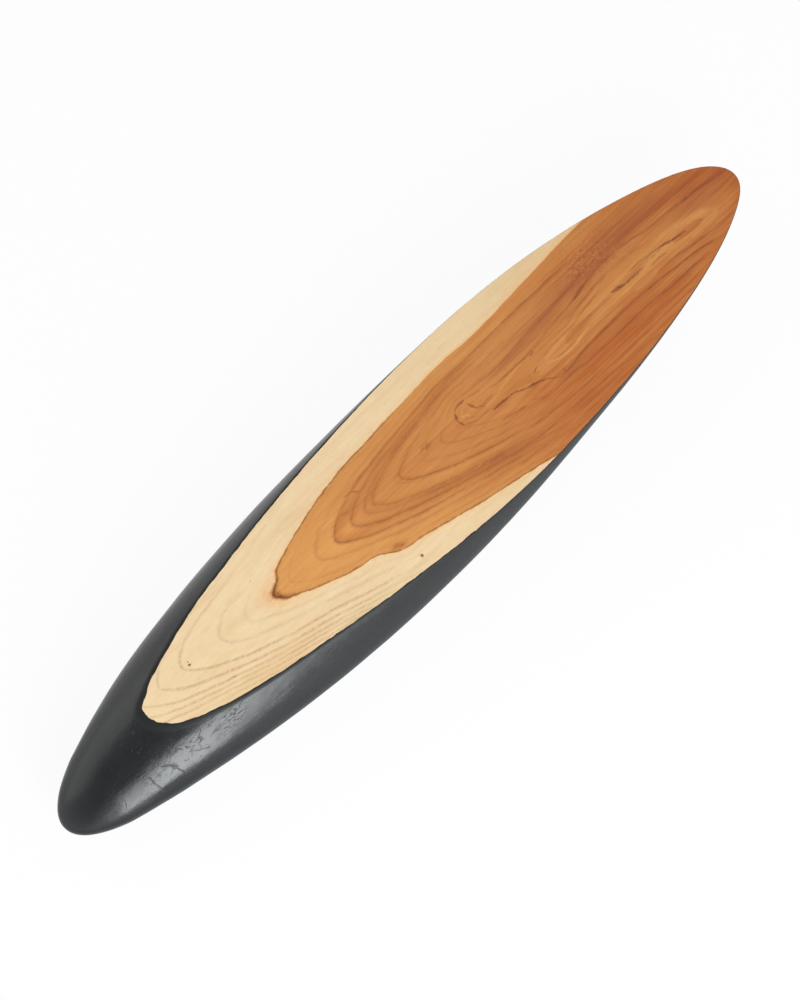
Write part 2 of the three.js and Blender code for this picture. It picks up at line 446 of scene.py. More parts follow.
# The sizes that each part of the shape takes, by property
BODY_SIZES = ("length", "width", "height", "crown", "hull", "nose_girdle", "tip_girdle")
BODY_SIZES += ("finish_feather", "hand", "seed")
FINISH_SIZES = ("finish_depth", "finish_rim", "ragged")
RING_SIZES = ("height", "saw_slope", "pith_outcrop")
LOG_SIZES = ("length", *RING_SIZES, "heart_radius")


def sizes_of(shape, names):
    """Sizes of the plate, by the label of the socket that takes each."""
    return {name.replace("_", " ").title(): getattr(shape, name) for name in names}


def log_rings(name, kind):
    """The ring field of the log, built the same for shapes and for colours.

    Radius is the ring that passes through a place, Spread how fast it changes across the face, Side
    the distance from the line of ring centres, and Drop the height over the pith.
    """
    sizes = {"Height": cad_size.z, "Saw Slope": SAW_SLOPE, "Pith Outcrop": PITH_OUTCROP}
    tree, given = new_group(kind, name, {"Place": "NodeSocketVector", **sizes})
    place = scaled(given["Place"], 1 / MM)
    x, y, z = parts(place)
    slope = reckon("TANGENT", given["Saw Slope"])
    side = y - hand_curve(x, RING_MIDDLE)
    drop = z - given["Height"] / MM + (given["Pith Outcrop"] / MM - x) * slope
    upper = hand_curve(x, UPPER_SWELL)
    lower = hand_curve(x, LOWER_SWELL)
    swell = between(is_over(side, 0), lower, upper)
    across = abs(side) / swell
    deep = abs(drop)
    trunk = (across**RING_ROUNDNESS + deep**RING_ROUNDNESS) ** (1 / RING_ROUNDNESS)
    safe = greater(trunk, 0.5)
    across_share = lesser(across / safe, 1) ** (RING_ROUNDNESS - 1) / swell
    deep_share = lesser(deep / safe, 1) ** (RING_ROUNDNESS - 1) * slope
    spread = root_of_squares(across_share, deep_share)
    wander = cloud(place, (75, 24, 24), 1, 1.0) * 1.5 + cloud(place, (24, 8, 8), 2, 1.0) * 0.45
    jitter = cloud(place, (5, 2.2, 2.2), 3, 2.0) * spread * 1.1
    pushes = [hump(x, y, *where) * push for *where, push in BORDER_PUSHES]
    trunk = trunk + (wander + jitter) - total(pushes)
    knot = root_of_squares((x - KNOT_MIDDLE[0]) / KNOT_STRETCH, y - KNOT_MIDDLE[1])
    beyond = greater(z - given["Height"] / MM, 0) + greater(2 - drop, 0)
    branch = KNOT_START + knot * KNOT_GROWTH + beyond * 2 + cloud(place, (6, 4, 4), 4, 1.0) * 1.2
    radius = reckon("SMOOTH_MIN", trunk, branch, 2.5)
    return close_group(tree, Radius=radius, Spread=spread, Side=side, Drop=drop)


def flat_grid(tree, stations, sides):
    """A grid to roll up: its mesh, the share along it, and the cosine and sine of the turn round it."""
    inputs = {"Size X": 1.0, "Size Y": 1.0, "Vertices X": stations, "Vertices Y": sides + 1}
    grid = result(tree, "GeometryNodeMeshGrid", inputs)
    u, v, _ = parts(result(tree, "GeometryNodeInputPosition"))
    turn = (0.5 - v) * (2 * math.pi)
    return grid, u + 0.5, reckon("COSINE", turn), reckon("SINE", turn)


def open_ends(share, stations):
    """The share along a skin between its closed ends, and a mask that is 0 at those ends."""
    step = 1 / (stations - 1)
    walked = clamped((share - step) / (1 - step * 2))
    is_open = is_over(share, step * 0.5) * reckon("LESS_THAN", share, 1 - step * 0.5)
    return walked, is_open


def rolled_up(tree, grid, place):
    """The grid with its points at their places, in mm, welded into a closed skin."""
    skin = result(tree, "GeometryNodeSetPosition", {"Geometry": grid, "Position": scaled(place, MM)})
    return result(tree, "GeometryNodeMergeByDistance", {"Geometry": skin, "Distance": WELD})


def carved_spindle(name, shape):
    """The round body before it is sawn, brought in by the finish's depth, as a closed mesh."""
    finish = {label: 0.0 for label in sizes_of(shape, FINISH_SIZES)}
    sizes = {**sizes_of(shape, BODY_SIZES), **finish, **INNER_GRID}
    tree, given = new_group("GeometryNodeTree", name, sizes)
    grid, share, outward, upward = flat_grid(tree, given["Stations"], given["Sides"])
    station = -reckon("COSINE", share * math.pi)
    away = lesser(abs(station) * 1.00001, 1)
    shoulder = greater(1 - away**OUTLINE_SHOULDER, 0)
    fullness = shoulder ** (1 / OUTLINE_ROUNDNESS) * (1 - away * away * END_PINCH)
    long = given["Length"] / (2 * MM)
    x = station * long
    fullness = fullness * hand_curve(x, WIDTH_DRIFT)
    half = fullness * given["Width"] / (2 * MM)
    bow = hand_curve(x, MIDDLE_DRIFT)
    climb = eased(x, GIRDLE_CLIMB_START, GIRDLE_CLIMB_END)
    top = given["Height"] / MM
    girdle = top - between(climb, given["Nose Girdle"] / MM, given["Tip Girdle"] / MM)
    crown = fullness**CROWN_POWER * given["Crown"] / MM
    hull = fullness * given["Hull"] / MM
    is_upper = is_over(upward, 0.0001)
    tall = between(is_upper, hull, crown)
    bend = between(is_upper, 2 / HULL_ROUNDNESS, 2 / CROWN_ROUNDNESS)
    side_reach = reckon("SIGN", outward) * abs(outward) ** bend
    up_reach = reckon("SIGN", upward) * abs(upward) ** bend
    y = bow + side_reach * half
    z = girdle + up_reach * tall
    swelling = total([hump(x, y, *where) * rise for *where, rise in NOSE_SWELLS]) * is_upper
    true_place = joined(tree, x, y, z)
    under_face = eased(top - z, 0, given["Finish Feather"] / MM)
    shift = {0: true_place, 1: joined(tree, given["Seed"] * 400, 0, 0)}
    shifted = result(tree, "ShaderNodeVectorMath", shift, operation="ADD")
    waves = cloud(shifted, (46, 22, 22), 5, 1.0) * 1.2 + cloud(shifted, (15, 9, 9), 6, 1.0) * 0.5
    wander = clamped(waves + 0.5) * between(under_face, 0.3, 1.0) * given["Hand"] / MM
    calm = between(eased(x, NOSE_CREEP_END, NOSE_CREEP_START), 1.0, 0.45)
    creep = calm * between(eased(x, -20, 60), 1.0, 0.1) * given["Ragged"] / MM
    ragged = clamped(cloud(true_place, (4.5, 3.5, 3.5), 7, 3.0, 0.65) * 2.2 + 0.5) * creep
    inset = between(under_face, given["Finish Rim"] / MM + ragged, given["Finish Depth"] / MM) + wander
    held = lesser(inset, lesser(half, tall) * 0.5)
    y = bow + side_reach * (half - held)
    z = girdle + up_reach * (tall - held) + swelling
    return close_group(tree, Mesh=rolled_up(tree, grid, joined(tree, station * (long - inset), y, z)))


def heartwood_log(name, shape, rings):
    """The log inside the heartwood's border, found by walking each point out to its ring."""
    sizes = {**sizes_of(shape, LOG_SIZES), "Stations": 320, "Sides": 200}
    tree, given = new_group("GeometryNodeTree", name, sizes)
    grid, share, outward, upward = flat_grid(tree, given["Stations"], given["Sides"])
    walked, is_open = open_ends(share, given["Stations"])
    x = hand_curve(walked, CORE_STATIONS) * (given["Length"] / (2 * MM) + CORE_OVERRUN)
    facts = passed(given, sizes_of(shape, RING_SIZES))
    axis = use_group(tree, rings, {"Place": scaled(joined(tree, x, 0, 0), MM), **facts})
    radius = given["Heart Radius"] / MM
    walk = radius

    def spot():
        return joined(tree, x, -axis["Side"] + walk * outward, -axis["Drop"] + walk * upward)

    for _ in range(RING_STEPS):
        found = use_group(tree, rings, {"Place": scaled(spot(), MM), **facts})["Radius"]
        walk = walk * radius / found
    walk = walk * is_open
    return close_group(tree, Mesh=rolled_up(tree, grid, spot()))


def peg(name):
    """A tapering peg from Root to Eye, its section spread along Wide and Thick, with a rough skin."""
    sizes = {"Root": "NodeSocketVector", "Eye": "NodeSocketVector", "Wide": (1, 0, 0), "Thick": (0, 1, 0)}
    sizes.update({"Root Radius": 0.002, "Eye Radius": 0.005, "Clearance": 0.0, "Rough": 0.2})
    sizes.update({"Rings": 24, "Sides": 48})
    tree, given = new_group("GeometryNodeTree", name, sizes)
    grid, share, outward, upward = flat_grid(tree, given["Rings"], given["Sides"])
    walked, is_open = open_ends(share, given["Rings"])
    along = walked * PEG_OVERRUN
    radius = between(along, given["Root Radius"], given["Eye Radius"]) / MM
    lobes = joined(tree, outward * 1.3, upward * 1.3, along * 2)
    rough = cloud(lobes, (1, 1, 1), 8, 3.0) * given["Rough"] * 1.6
    radius = (radius * (1 + rough) - given["Clearance"] / MM) * is_open
    corners = zip(*(parts(given[label]) for label in ("Root", "Eye", "Wide", "Thick")))
    spots = []
    for root, eye, wide, thick in corners:
        spots.append(between(along, root, eye) / MM + (wide * outward + thick * upward) * radius)
    return close_group(tree, Mesh=rolled_up(tree, grid, joined(tree, *spots)))


def carve(tree, operation, first, second):
    """One Mesh Boolean node on two closed meshes."""
    node = add_node(tree, "GeometryNodeMeshBoolean", operation=operation, solver="MANIFOLD")
    feed(node.inputs["Mesh 1" if operation == "DIFFERENCE" else "Mesh 2"], first)
    feed(node.inputs["Mesh 2"], second)
    return Flow(node.outputs["Mesh"])


def sawn(tree, mesh, low, high):
    """Keeps what lies between two levels: the saw cuts of the foot and the face."""
    block = result(tree, "GeometryNodeMeshCube", {"Size": joined(tree, *SAW_BLOCK, high - low)})
    lift = {"Geometry": block, "Translation": joined(tree, 0, 0, (high + low) * 0.5)}
    return carve(tree, "INTERSECT", mesh, result(tree, "GeometryNodeTransform", lift))


def finished(tree, mesh, material):
    """The end of each piece's tree."""
    real = result(tree, "GeometryNodeRealizeInstances", {"Geometry": mesh})
    look = result(tree, "GeometryNodeSetMaterial", {"Geometry": real, "Material": material})
    return close_group(tree, Mesh=look)


def passed(given, labels):
    """Group inputs handed on to a group inside."""
    return {label: given[label] for label in labels}


def grow(name, tree, sizes):
    """Runs a piece's tree, keeps the result as a plain mesh, and takes the modifier off."""
    piece = bpy.data.objects.new(name, bpy.data.meshes.new(name))
    bpy.context.scene.collection.objects.link(piece)
    modifier = piece.modifiers.new(tree.name, "NODES")
    modifier.node_group = tree
    for item in tree.interface.items_tree:
        if item.in_out == "INPUT":
            modifier[item.identifier] = sizes[item.name]
    graph = bpy.context.evaluated_depsgraph_get()
    mesh = bpy.data.meshes.new_from_object(piece.evaluated_get(graph), depsgraph=graph)
    if not mesh.polygons:
        raise RuntimeError(name + " came out empty")
    piece.modifiers.clear()
    piece.data = mesh
    mesh.name = name
    return piece


def settle(piece, slot, *nodes):
    """Hides the imported solids that the finished piece stands for, and says what it moves with. Its slot,
    what it is made of, is not used.
    """
    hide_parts(*nodes)
    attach(piece, "root")


def branch_knot_peg():
    """The branch knot stands nearly upright over the pith."""
    return {
        "Root": Vector((*BRANCH_ROOT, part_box("branch_knot")[0].z)),
        "Eye": Vector((*BRANCH_EYE, cad_size.z)),
        "Root Radius": BRANCH_ROOT_RADIUS,
        "Eye Radius": BRANCH_EYE_RADIUS,
        "Rough": 0.2,
    }


def pin_knot_peg(node, radius):
    """A pin knot leans towards the pith as it goes down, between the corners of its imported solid."""
    low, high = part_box(node)
    middle = (low + high) / 2
    root_radius = radius * 0.55
    if middle.y < 0:
        eye_y, root_y = low.y + radius, high.y - root_radius
    else:
        eye_y, root_y = high.y - radius, low.y + root_radius
    return {
        "Root": Vector((middle.x, root_y, low.z)),
        "Eye": Vector((middle.x, eye_y, high.z)),
        "Root Radius": root_radius * 0.9,
        "Eye Radius": radius * 0.85,
        "Rough": 0.3,
    }


def pith_peg():
    """The pith, from its outcrop down along the log until it is past the foot."""
    reach = cad_size.z / math.tan(SAW_SLOPE)
    eye = Vector((PITH_OUTCROP, PITH_SIDE, cad_size.z))
    return {
        "Root": eye - Vector((reach, reach * math.tan(PITH_SLANT), cad_size.z)) * PITH_OVERRUN,
        "Eye": eye,
        "Wide": Vector((0, 1, 0)),
        "Thick": Vector((0, 0, 1)),
        "Root Radius": PITH_RADIUS,
        "Eye Radius": PITH_RADIUS,
        "Rough": 0.25,
    }


PEGS = {
    "Pith": pith_peg(),
    "Branch_knot": branch_knot_peg(),
    "Pin_knot_edge": pin_knot_peg("pin_knot_edge", 0.0015),
    "Pin_knot_nose": pin_knot_peg("pin_knot_nose", 0.0011),
    "Pin_knot_side": pin_knot_peg("pin_knot_side", 0.0012),
}
HEARTWOOD_PEGS = ("Pith", "Branch_knot", "Pin_knot_edge")
SAPWOOD_PEGS = ("Pin_knot_nose", "Pin_knot_side")


def peg_mesh(tree, groups, name, gap):
    return use_group(tree, groups["peg"], {**PEGS[name], "Clearance": gap})["Mesh"]


def finish_tree(groups, shape, sizes):
    """The black finish: a thin skin on the round sides, open at the face and at the foot."""
    tree, given = new_group("GeometryNodeTree", "Black finish", {**sizes, "Material": "NodeSocketMaterial"})
    common = passed(given, sizes_of(shape, BODY_SIZES))
    finish = passed(given, sizes_of(shape, FINISH_SIZES))
    outer = use_group(tree, groups["spindle"], {**common, **OUTER_GRID})["Mesh"]
    inner = use_group(tree, groups["spindle"], {**common, **finish, **INNER_GRID})["Mesh"]
    body = sawn(tree, outer, given["Foot Reveal"], given["Height"])
    return finished(tree, carve(tree, "DIFFERENCE", body, inner), given["Material"])


def wood_tree(groups, shape, name, sizes):
    """Heartwood or sapwood: the sawn timber inside or outside the heartwood's border."""
    tree, given = new_group("GeometryNodeTree", name, {**sizes, "Material": "NodeSocketMaterial"})
    timber = {**passed(given, sizes_of(shape, BODY_SIZES + FINISH_SIZES)), **INNER_GRID}
    wood = sawn(tree, use_group(tree, groups["spindle"], timber)["Mesh"], 0.0, given["Height"])
    core = use_group(tree, groups["log"], passed(given, sizes_of(shape, LOG_SIZES)))["Mesh"]
    is_heart = name == "Heartwood"
    wood = carve(tree, "INTERSECT" if is_heart else "DIFFERENCE", wood, core)
    for peg_name in HEARTWOOD_PEGS if is_heart else SAPWOOD_PEGS:
        wood = carve(tree, "DIFFERENCE", wood, peg_mesh(tree, groups, peg_name, 0.0))
    return finished(tree, wood, given["Material"])


def peg_tree(groups, name):
    """A pith or knot, cut flush with the face and the foot."""
    inputs = {"Height": cad_size.z, "Material": "NodeSocketMaterial"}
    tree, given = new_group("GeometryNodeTree", name, inputs)
    body = sawn(tree, peg_mesh(tree, groups, name, PEG_GAP), 0.0, given["Height"])
    return finished(tree, body, given["Material"])


def new_material(name):
    """A material with an empty tree."""
    material = bpy.data.materials.new(name)
    material.use_nodes = True
    material.node_tree.nodes.clear()
    return material, material.node_tree


def object_place(tree):
    """Object coordinates, in metres."""
    return Flow(add_node(tree, "ShaderNodeTexCoord").outputs["Object"])


def start_look(name):
    """A new look: its material and tree, and the place on the piece in metres and in mm."""
    material, tree = new_material(name)
    place = object_place(tree)
    return material, tree, place, scaled(place, 1 / MM)


# How far a height in a wood's or the finish's look is raised, and how strongly it shows
WOOD_RELIEF = (0.06, 0.5)
FINISH_RELIEF = (1.0, 1.0)


def dress(tree, colour, roughness, height, relief=WOOD_RELIEF):
    """Ends a look: colour and roughness over the surface, and relief from a height in mm."""
    height = height * MM
    shader = add_node(tree, "ShaderNodeBsdfPrincipled", {"Base Color": colour, "Roughness": roughness})
    distance, strength = relief
    bump = result(tree, "ShaderNodeBump", {"Height": height, "Distance": distance, "Strength": strength})
    feed(shader.inputs["Normal"], bump)
    add_node(tree, "ShaderNodeOutputMaterial", {"Surface": Flow(shader.outputs[0])})
    arrange(tree)


def tinted(base, tint, share):
    """Base with a share of tint laid over it."""
    node = add_node(share.tree, "ShaderNodeMix", data_type="RGBA")
    sockets = {socket.identifier: socket for socket in (*node.inputs, *node.outputs)}
    feed(sockets["Factor_Float"], share)
    feed(sockets["A_Color"], base)
    feed(sockets["B_Color"], tint)
    return Flow(sockets["Result_Color"])


def ring_line(name):
    """One ring's line on the face: a dark edge, and a softer band on the side of the pith."""
    inputs = {"Radius": 0.0, "Spread": 1.0, "At": 30.0, "Width": 0.8, "Band": 3.0, "Band Share": 0.35}
    tree, given = new_group("ShaderNodeTree", name, inputs)
    off = (given["Radius"] - given["At"]) / given["Spread"]
    edge = clamped(1 - abs(off) / given["Width"])
    edge = edge * edge * (2 - edge)
    band = clamped(1 + off / given["Band"]) * reckon("LESS_THAN", off, 0)
    return close_group(tree, Edge=edge, Band=band * given["Band Share"])


def wood_grain(name):
    """Fibres and pores along the log, and the saw's marks on the foot."""
    tree, given = new_group("ShaderNodeTree", name, {"Place": "NodeSocketVector", "Fineness": 1.0})
    place = scaled(given["Place"], given["Fineness"])
    fibre = cloud(place, (22, 0.5, 0.5), 11, 3.0, 0.6) + cloud(place, (60, 1.6, 1.6), 12, 1.0) * 0.7
    pores = eased(cloud(place, (4.5, 0.42, 0.42), 13, 1.0), 0.13, 0.25)
    x, y, z = parts(given["Place"])
    foot = eased(z, 0.6, 0.2)
    saw = reckon("SINE", (x + y * 0.12) * 2.4 + cloud(given["Place"], (9, 30, 30), 14, 2.0) * 9)
    height = fibre * 0.5 - pores * 0.8 + saw * foot * 1.5
    return close_group(tree, Fibre=fibre, Pores=pores, Height=height)


def stroke(name):
    """A mark drawn from one place to another in plan, thin at its ends."""
    inputs = {"X": 0.0, "Y": 0.0, "From X": 0.0, "From Y": 0.0, "To X": 1.0, "To Y": 0.0, "Width": 1.0}
    tree, given = new_group("ShaderNodeTree", name, inputs)
    run = given["To X"] - given["From X"]
    rise = given["To Y"] - given["From Y"]
    out = given["X"] - given["From X"]
    up = given["Y"] - given["From Y"]
    along = clamped((out * run + up * rise) / (run * run + rise * rise))
    gap = root_of_squares(out - along * run, up - along * rise)
    belly = along * (1 - along) * 4
    width = given["Width"] * (0.35 + 0.65 * belly)
    return close_group(tree, Mask=eased(gap, width * 1.3, 0))


def strokes(tree, groups, place, marks, shake):
    """The strongest of a list of strokes, drawn by one shaky hand: from x, y, to x, y, width, strength."""
    x, y, _ = parts(place)
    x = x + cloud(place, (2.4, 1.8, 1.8), 31, 4.0, 0.65) * shake
    y = y + cloud(place, (2.4, 1.8, 1.8), 32, 4.0, 0.65) * shake
    labels = ("From X", "From Y", "To X", "To Y", "Width")
    strongest = None
    for *mark, strength in marks:
        drawn = {"X": x, "Y": y, **dict(zip(labels, mark))}
        mask = use_group(tree, groups["stroke"], drawn)["Mask"] * strength
        strongest = mask if strongest is None else greater(strongest, mask)
    return strongest


# Ring lines of the heartwood: ring, width on the face, band, share of the band, then the strength at
# the ring's tip, on the upper flank and on the lower flank
HEART_RINGS = [
    (36.6, 0.7, 2.5, 0.15, 0.3, 0.1, 0.3),
    (34.1, 1.6, 3.0, 0.35, 0.5, 0.25, 0.4),
    (32.3, 1.6, 9.0, 0.85, 1.0, 0.6, 0.75),
    (30.5, 1.9, 4.0, 0.8, 0.75, 0.35, 0.65),
    (29.2, 2.2, 4.5, 0.9, 0.5, 0.3, 0.5),
    (28.4, 2.4, 4.0, 0.8, 0.6, 0.45, 0.7),
    (26.0, 0.8, 2.0, 0.3, 0.4, 0.15, 0.25),
    (25.6, 1.3, 3.0, 0.7, 1.0, 0.35, 0.9),
    (23.4, 1.3, 2.0, 0.4, 0.15, 0.25, 0.45),
    (21.4, 0.8, 2.5, 0.5, 0.5, 0.35, 0.45),
    (19.6, 1.0, 2.5, 0.5, 0.3, 0.3, 0.4),
    (17.6, 0.9, 1.5, 0.4, 0.2, 0.15, 0.3),
    (15.2, 0.9, 1.5, 0.4, 0.2, 0.15, 0.3),
    (12.4, 0.9, 2.0, 0.5, 0.1, 0.1, 0.2),
]
RINGS_FADE_START = 40
RINGS_FADE_END = 88

# Ring lines of the sapwood: ring, width, then the strength at the tip and on the two flanks
SAP_RINGS = [
    (40.4, 1.8, 0.35, 0.25, 0.25),
    (42.8, 1.8, 0.45, 0.3, 0.35),
    (46.2, 1.5, 0.6, 0.45, 0.75),
    (48.4, 1.5, 0.5, 0.25, 0.75),
    (50.2, 1.4, 0.4, 0.2, 0.65),
    (51.6, 1.3, 0.4, 0.2, 0.6),
    (53.0, 1.2, 0.4, 0.2, 0.55),
    (54.6, 1.2, 0.4, 0.2, 0.45),
]
SAP_BAND = {"Band": 1.5, "Band Share": 0.15}

# Long lines of the grain where the saw ran nearly along the log: points of the line, width, width of
# the band over it and under it, share of the band, strength
GRAIN_LINES = [
    ([(44, 24), (65, 24.5), (90, 25), (110, 25.5), (150, 25.5)], 0.8, 0.5, 4.5, 0.35, 0.55),
    ([(68, 17), (80, 17.5), (92, 18)], 0.6, 0.5, 1.5, 0.3, 0.3),
    ([(60, 9.5), (80, 10), (100, 11.5), (120, 12.5), (140, 14.5), (158, 16)], 0.8, 0.5, 6.0, 0.5, 0.55),
    ([(88, 2.5), (105, 4.5), (120, 6), (135, 7.5), (148, 10)], 0.9, 1.0, 0.5, 0.2, 0.6),
    ([(132, 7), (148, 10), (160, 11), (171, 11.5)], 1.1, 6.0, 0.8, 0.7, 0.7),
    ([(169, 12), (181, 10), (192, 8), (205, 7), (225, 5)], 1.0, 1.0, 0.8, 0.3, 0.6),
    ([(216, 6), (228, 5), (238, 3.5), (251, 2)], 1.1, 5.0, 0.8, 0.6, 0.8),
    ([(122, 2), (140, 4), (152, 5), (161, 5)], 0.8, 1.5, 0.5, 0.3, 0.7),
    ([(158, 5), (172, 4.5), (184, 3.5)], 0.8, 2.0, 0.5, 0.4, 0.4),
    ([(160, 14.5), (180, 14), (195, 13), (210, 12), (225, 11), (244, 10.5)], 0.7, 7.0, 0.5, 0.75, 0.5),
    ([(158, 22.5), (175, 21.5), (200, 20.5), (214, 19)], 0.8, 1.0, 5.0, 0.5, 0.35),
    ([(66, 4), (73, 3), (84, 3), (95, 2)], 0.8, 1.5, 0.5, 0.3, 0.6),
    ([(94, -17), (103, -18), (116, -16.5), (130, -16), (146, -15.5), (162, -16)], 0.8, 0.5, 3.5, 0.6, 0.8),
    (
        [(156, -16), (175, -17), (190, -18.5), (200, -19.5), (210, -21.5), (221, -24.5)],
        0.8, 0.5, 3.0, 0.5, 0.85,
    ),
    ([(58, -13), (66, -15), (74, -17)], 0.8, 0.5, 2.0, 0.4, 0.5),
    ([(77, -16), (84, -20), (90, -21), (104, -21.5), (117, -22.5), (132, -22.5)], 0.8, 1.5, 2.0, 0.5, 0.7),
    ([(126, -22.5), (145, -23), (160, -23), (176, -24), (190, -24.5), (207, -26)], 0.9, 3.0, 1.0, 0.6, 0.7),
    ([(64, -26.5), (75, -28), (84, -29), (100, -30.5), (114, -31)], 0.9, 2.5, 1.0, 0.4, 0.5),
    ([(44, -31), (57, -32), (66, -33.5), (80, -35)], 0.8, 0.8, 0.8, 0.3, 0.6),
    ([(88, -35), (110, -35.5), (126, -37), (154, -38)], 0.7, 0.5, 2.5, 0.35, 0.5),
    ([(46, -37), (58, -38.5), (67, -39)], 0.8, 0.8, 1.5, 0.3, 0.5),
    ([(116, -32.5), (135, -33), (154, -33.5)], 0.6, 0.5, 0.5, 0.2, 0.35),
    ([(182, -13), (192, -14), (205, -16), (220, -17.5), (236, -18)], 0.8, 1.0, 2.5, 0.5, 0.65),
    ([(150, -28), (172, -29), (192, -30)], 0.7, 0.5, 2.0, 0.3, 0.3),
    ([(162, -33), (173, -33), (186, -33.5)], 0.8, 0.5, 0.5, 0.2, 0.5),
    ([(92, -5), (97, -4), (108, -2.5), (122, -2), (137, 0.5), (148, 2)], 0.6, 0.5, 1.5, 0.3, 0.5),
    ([(114, -5), (122, -4), (136, -4.5), (151, -4.5)], 0.7, 0.5, 2.0, 0.4, 0.55),
    ([(101, -8.5), (110, -9.5), (119, -9.5)], 0.6, 1.5, 0.5, 0.3, 0.4),
    ([(166, -2), (176, -2.5), (184, -3.5), (193, -4.5)], 0.7, 0.5, 1.5, 0.3, 0.75),
    ([(155, -5.5), (165, -5.5), (175, -6)], 0.7, 1.0, 0.5, 0.3, 0.95),
    ([(177, -8.5), (184, -8.5), (190, -9.5)], 0.7, 0.8, 0.5, 0.3, 0.6),
]

# Pale lines of the grain, written the same way without bands
PALE_LINES = [
    ([(54, -2.5), (65, -1.5), (75, 0.5), (88, 2.5)], 0.7, 0.6),
    ([(60, 9), (68, 9), (80, 9.5)], 0.6, 0.4),
    ([(97, -7), (100, -5.5), (108, -5), (111, -5)], 0.7, 0.6),
    ([(97, -7.5), (101, -9), (107, -10.5), (114, -11), (121, -10), (130, -8.5)], 0.8, 0.9),
    ([(126, -9), (140, -8.5), (152, -9), (166, -9)], 0.8, 0.45),
    ([(70, -7.5), (78, -8), (84, -9.5)], 0.7, 0.5),
    ([(120, -1), (135, 1.5), (150, 3)], 0.8, 0.35),
    ([(186, 0.5), (200, -1), (214, -4), (226, -7.5)], 2.2, 0.5),
    ([(204, -12.5), (216, -13), (228, -11.5)], 1.8, 0.4),
    ([(98, -14.5), (115, -15), (135, -14), (150, -14)], 0.8, 0.35),
    ([(160, -12.5), (170, -13), (180, -12)], 1.2, 0.4),
]

# Dark marks on the heartwood: from x, y, to x, y, width, strength
HEART_MARKS = [
    (151.5, -4, 160, -5.5, 1.3, 1.0),
    (158, -6, 172, -6.5, 0.6, 0.85),
    (189, -4, 199, -6.5, 1.1, 1.0),
    (196, -6, 206, -7.5, 1.0, 0.9),
    (59, -6, 69, -6.5, 1.2, 1.0),
    (67, -6, 76, -7.5, 0.8, 0.8),
    (74, -7.5, 81.5, -10.5, 0.7, 0.7),
    (80, -10, 88, -12, 1.1, 0.95),
    (86, -11, 91.5, -14, 0.7, 0.8),
    (90, -13, 96.5, -17.5, 0.6, 0.7),
    (101.5, -15, 101.5, -18, 0.6, 0.6),
    (94, 2, 98, 2, 1.0, 0.6),
    (56, 0, 65, 0.5, 0.8, 0.5),
    (57, -1, 57, -1.5, 0.7, 0.6),
    (55, 8.5, 62, 7, 0.8, 0.45),
    (43, 7, 41, 2.5, 1.1, 0.9),
    (41, 3, 42, -1.5, 0.9, 0.8),
    (42, -1, 49, -4.5, 0.6, 0.5),
    (49, -4.5, 57, -4, 0.5, 0.3),
    (43.5, 7.5, 48, 9.5, 0.8, 0.6),
    (46, 9, 52, 9, 0.9, 0.9),
    (51.5, 6, 53.5, 1, 1.2, 0.75),
    (53, 1.5, 57, -0.5, 0.8, 0.6),
    (44, 5.5, 47, 7, 0.6, 0.4),
    (45, 0.5, 49.5, -1.5, 0.5, 0.35),
    (-31, 15, -26, 15, 0.9, 0.55),
    (-26, 15, -23, 12, 0.8, 0.6),
    (-40, 9.5, -33, 8, 1.6, 0.3),
    (-33, 9, -26, 12, 0.9, 0.25),
    (88, -7, 93, -5, 0.6, 0.7),
    (88, -7, 92, -8.5, 0.5, 0.35),
    (219, -9.5, 212, -6, 0.7, 0.3),
]

# How deep the heartwood's colour is along the plate, near the pith and on its two flanks
DEEP_MIDDLE = [(-90, 0.1), (-55, 0.05), (-25, 0.5), (60, 0.55), (125, 0.65), (200, 0.55)]
DEEP_MIDDLE += [(225, 0.6), (250, 1.0)]
DEEP_UPPER = [(-90, 0.1), (-45, 0.25), (10, 0.35), (70, 0.4), (130, 0.55), (190, 0.75), (250, 1.0)]
DEEP_LOWER = [(-90, 0.1), (-50, 0.15), (0, 0.25), (60, 0.6), (120, 0.85), (200, 0.8), (250, 0.85)]

# Lens-shaped patches of the grain about the pith, as an upper and a lower edge
PALE_LENS = (
    [(86, -4), (110, -0.5), (140, 2.2), (168, 3.2), (190, 1.5), (206, -0.8), (220, -4), (233, -9.5)],
    [(86, -8), (105, -13.6), (140, -13.6), (180, -12.8), (210, -13.6), (224, -13), (233, -9.5)],
)
DARK_TAIL = (
    [(196, -5.5), (205, -4.8), (212, -6.3), (216, -7.8), (219, -9.4)],
    [(196, -8.5), (205, -10.4), (212, -10.9), (216, -10.5), (219, -9.4)],
)
DARK_HEAD = (
    [(112, -7), (117, -5), (128, -4.3), (140, -5), (150, -6)],
    [(112, -7), (117, -9), (126, -9.3), (140, -8), (150, -6)],
)


def grain_line(name):
    """One long line of the grain: a thin edge, and soft bands over and under it."""
    inputs = {"Off": 0.0, "Along": 0.0, "Start": 0.0, "End": 100.0}
    inputs.update({"Width": 0.8, "Over": 1.0, "Under": 1.0, "Share": 0.3})
    tree, given = new_group("ShaderNodeTree", name, inputs)
    off = given["Off"]
    long = given["End"] - given["Start"]
    share = clamped((given["Along"] - given["Start"]) / long)
    ends = clamped(share * (1 - share) * 8)
    edge = clamped(1 - abs(off) / (given["Width"] * 1.6))
    over = clamped(1 - off / given["Over"]) * is_over(off, 0)
    under = clamped(1 + off / given["Under"]) * reckon("LESS_THAN", off, 0)
    edge = edge * edge * (2 - edge) * ends
    return close_group(tree, Edge=edge, Band=(over + under) * given["Share"] * ends)


def lens(x, y, edges, soft):
    """1 inside a patch between two edges, soft at its border."""
    upper, lower = edges
    start, end = upper[0][0], upper[-1][0]
    inside = lesser(hand_curve(x, upper) - y, y - hand_curve(x, lower))
    within = lesser(x - start, end - x)
    return eased(lesser(inside, within), 0, soft)


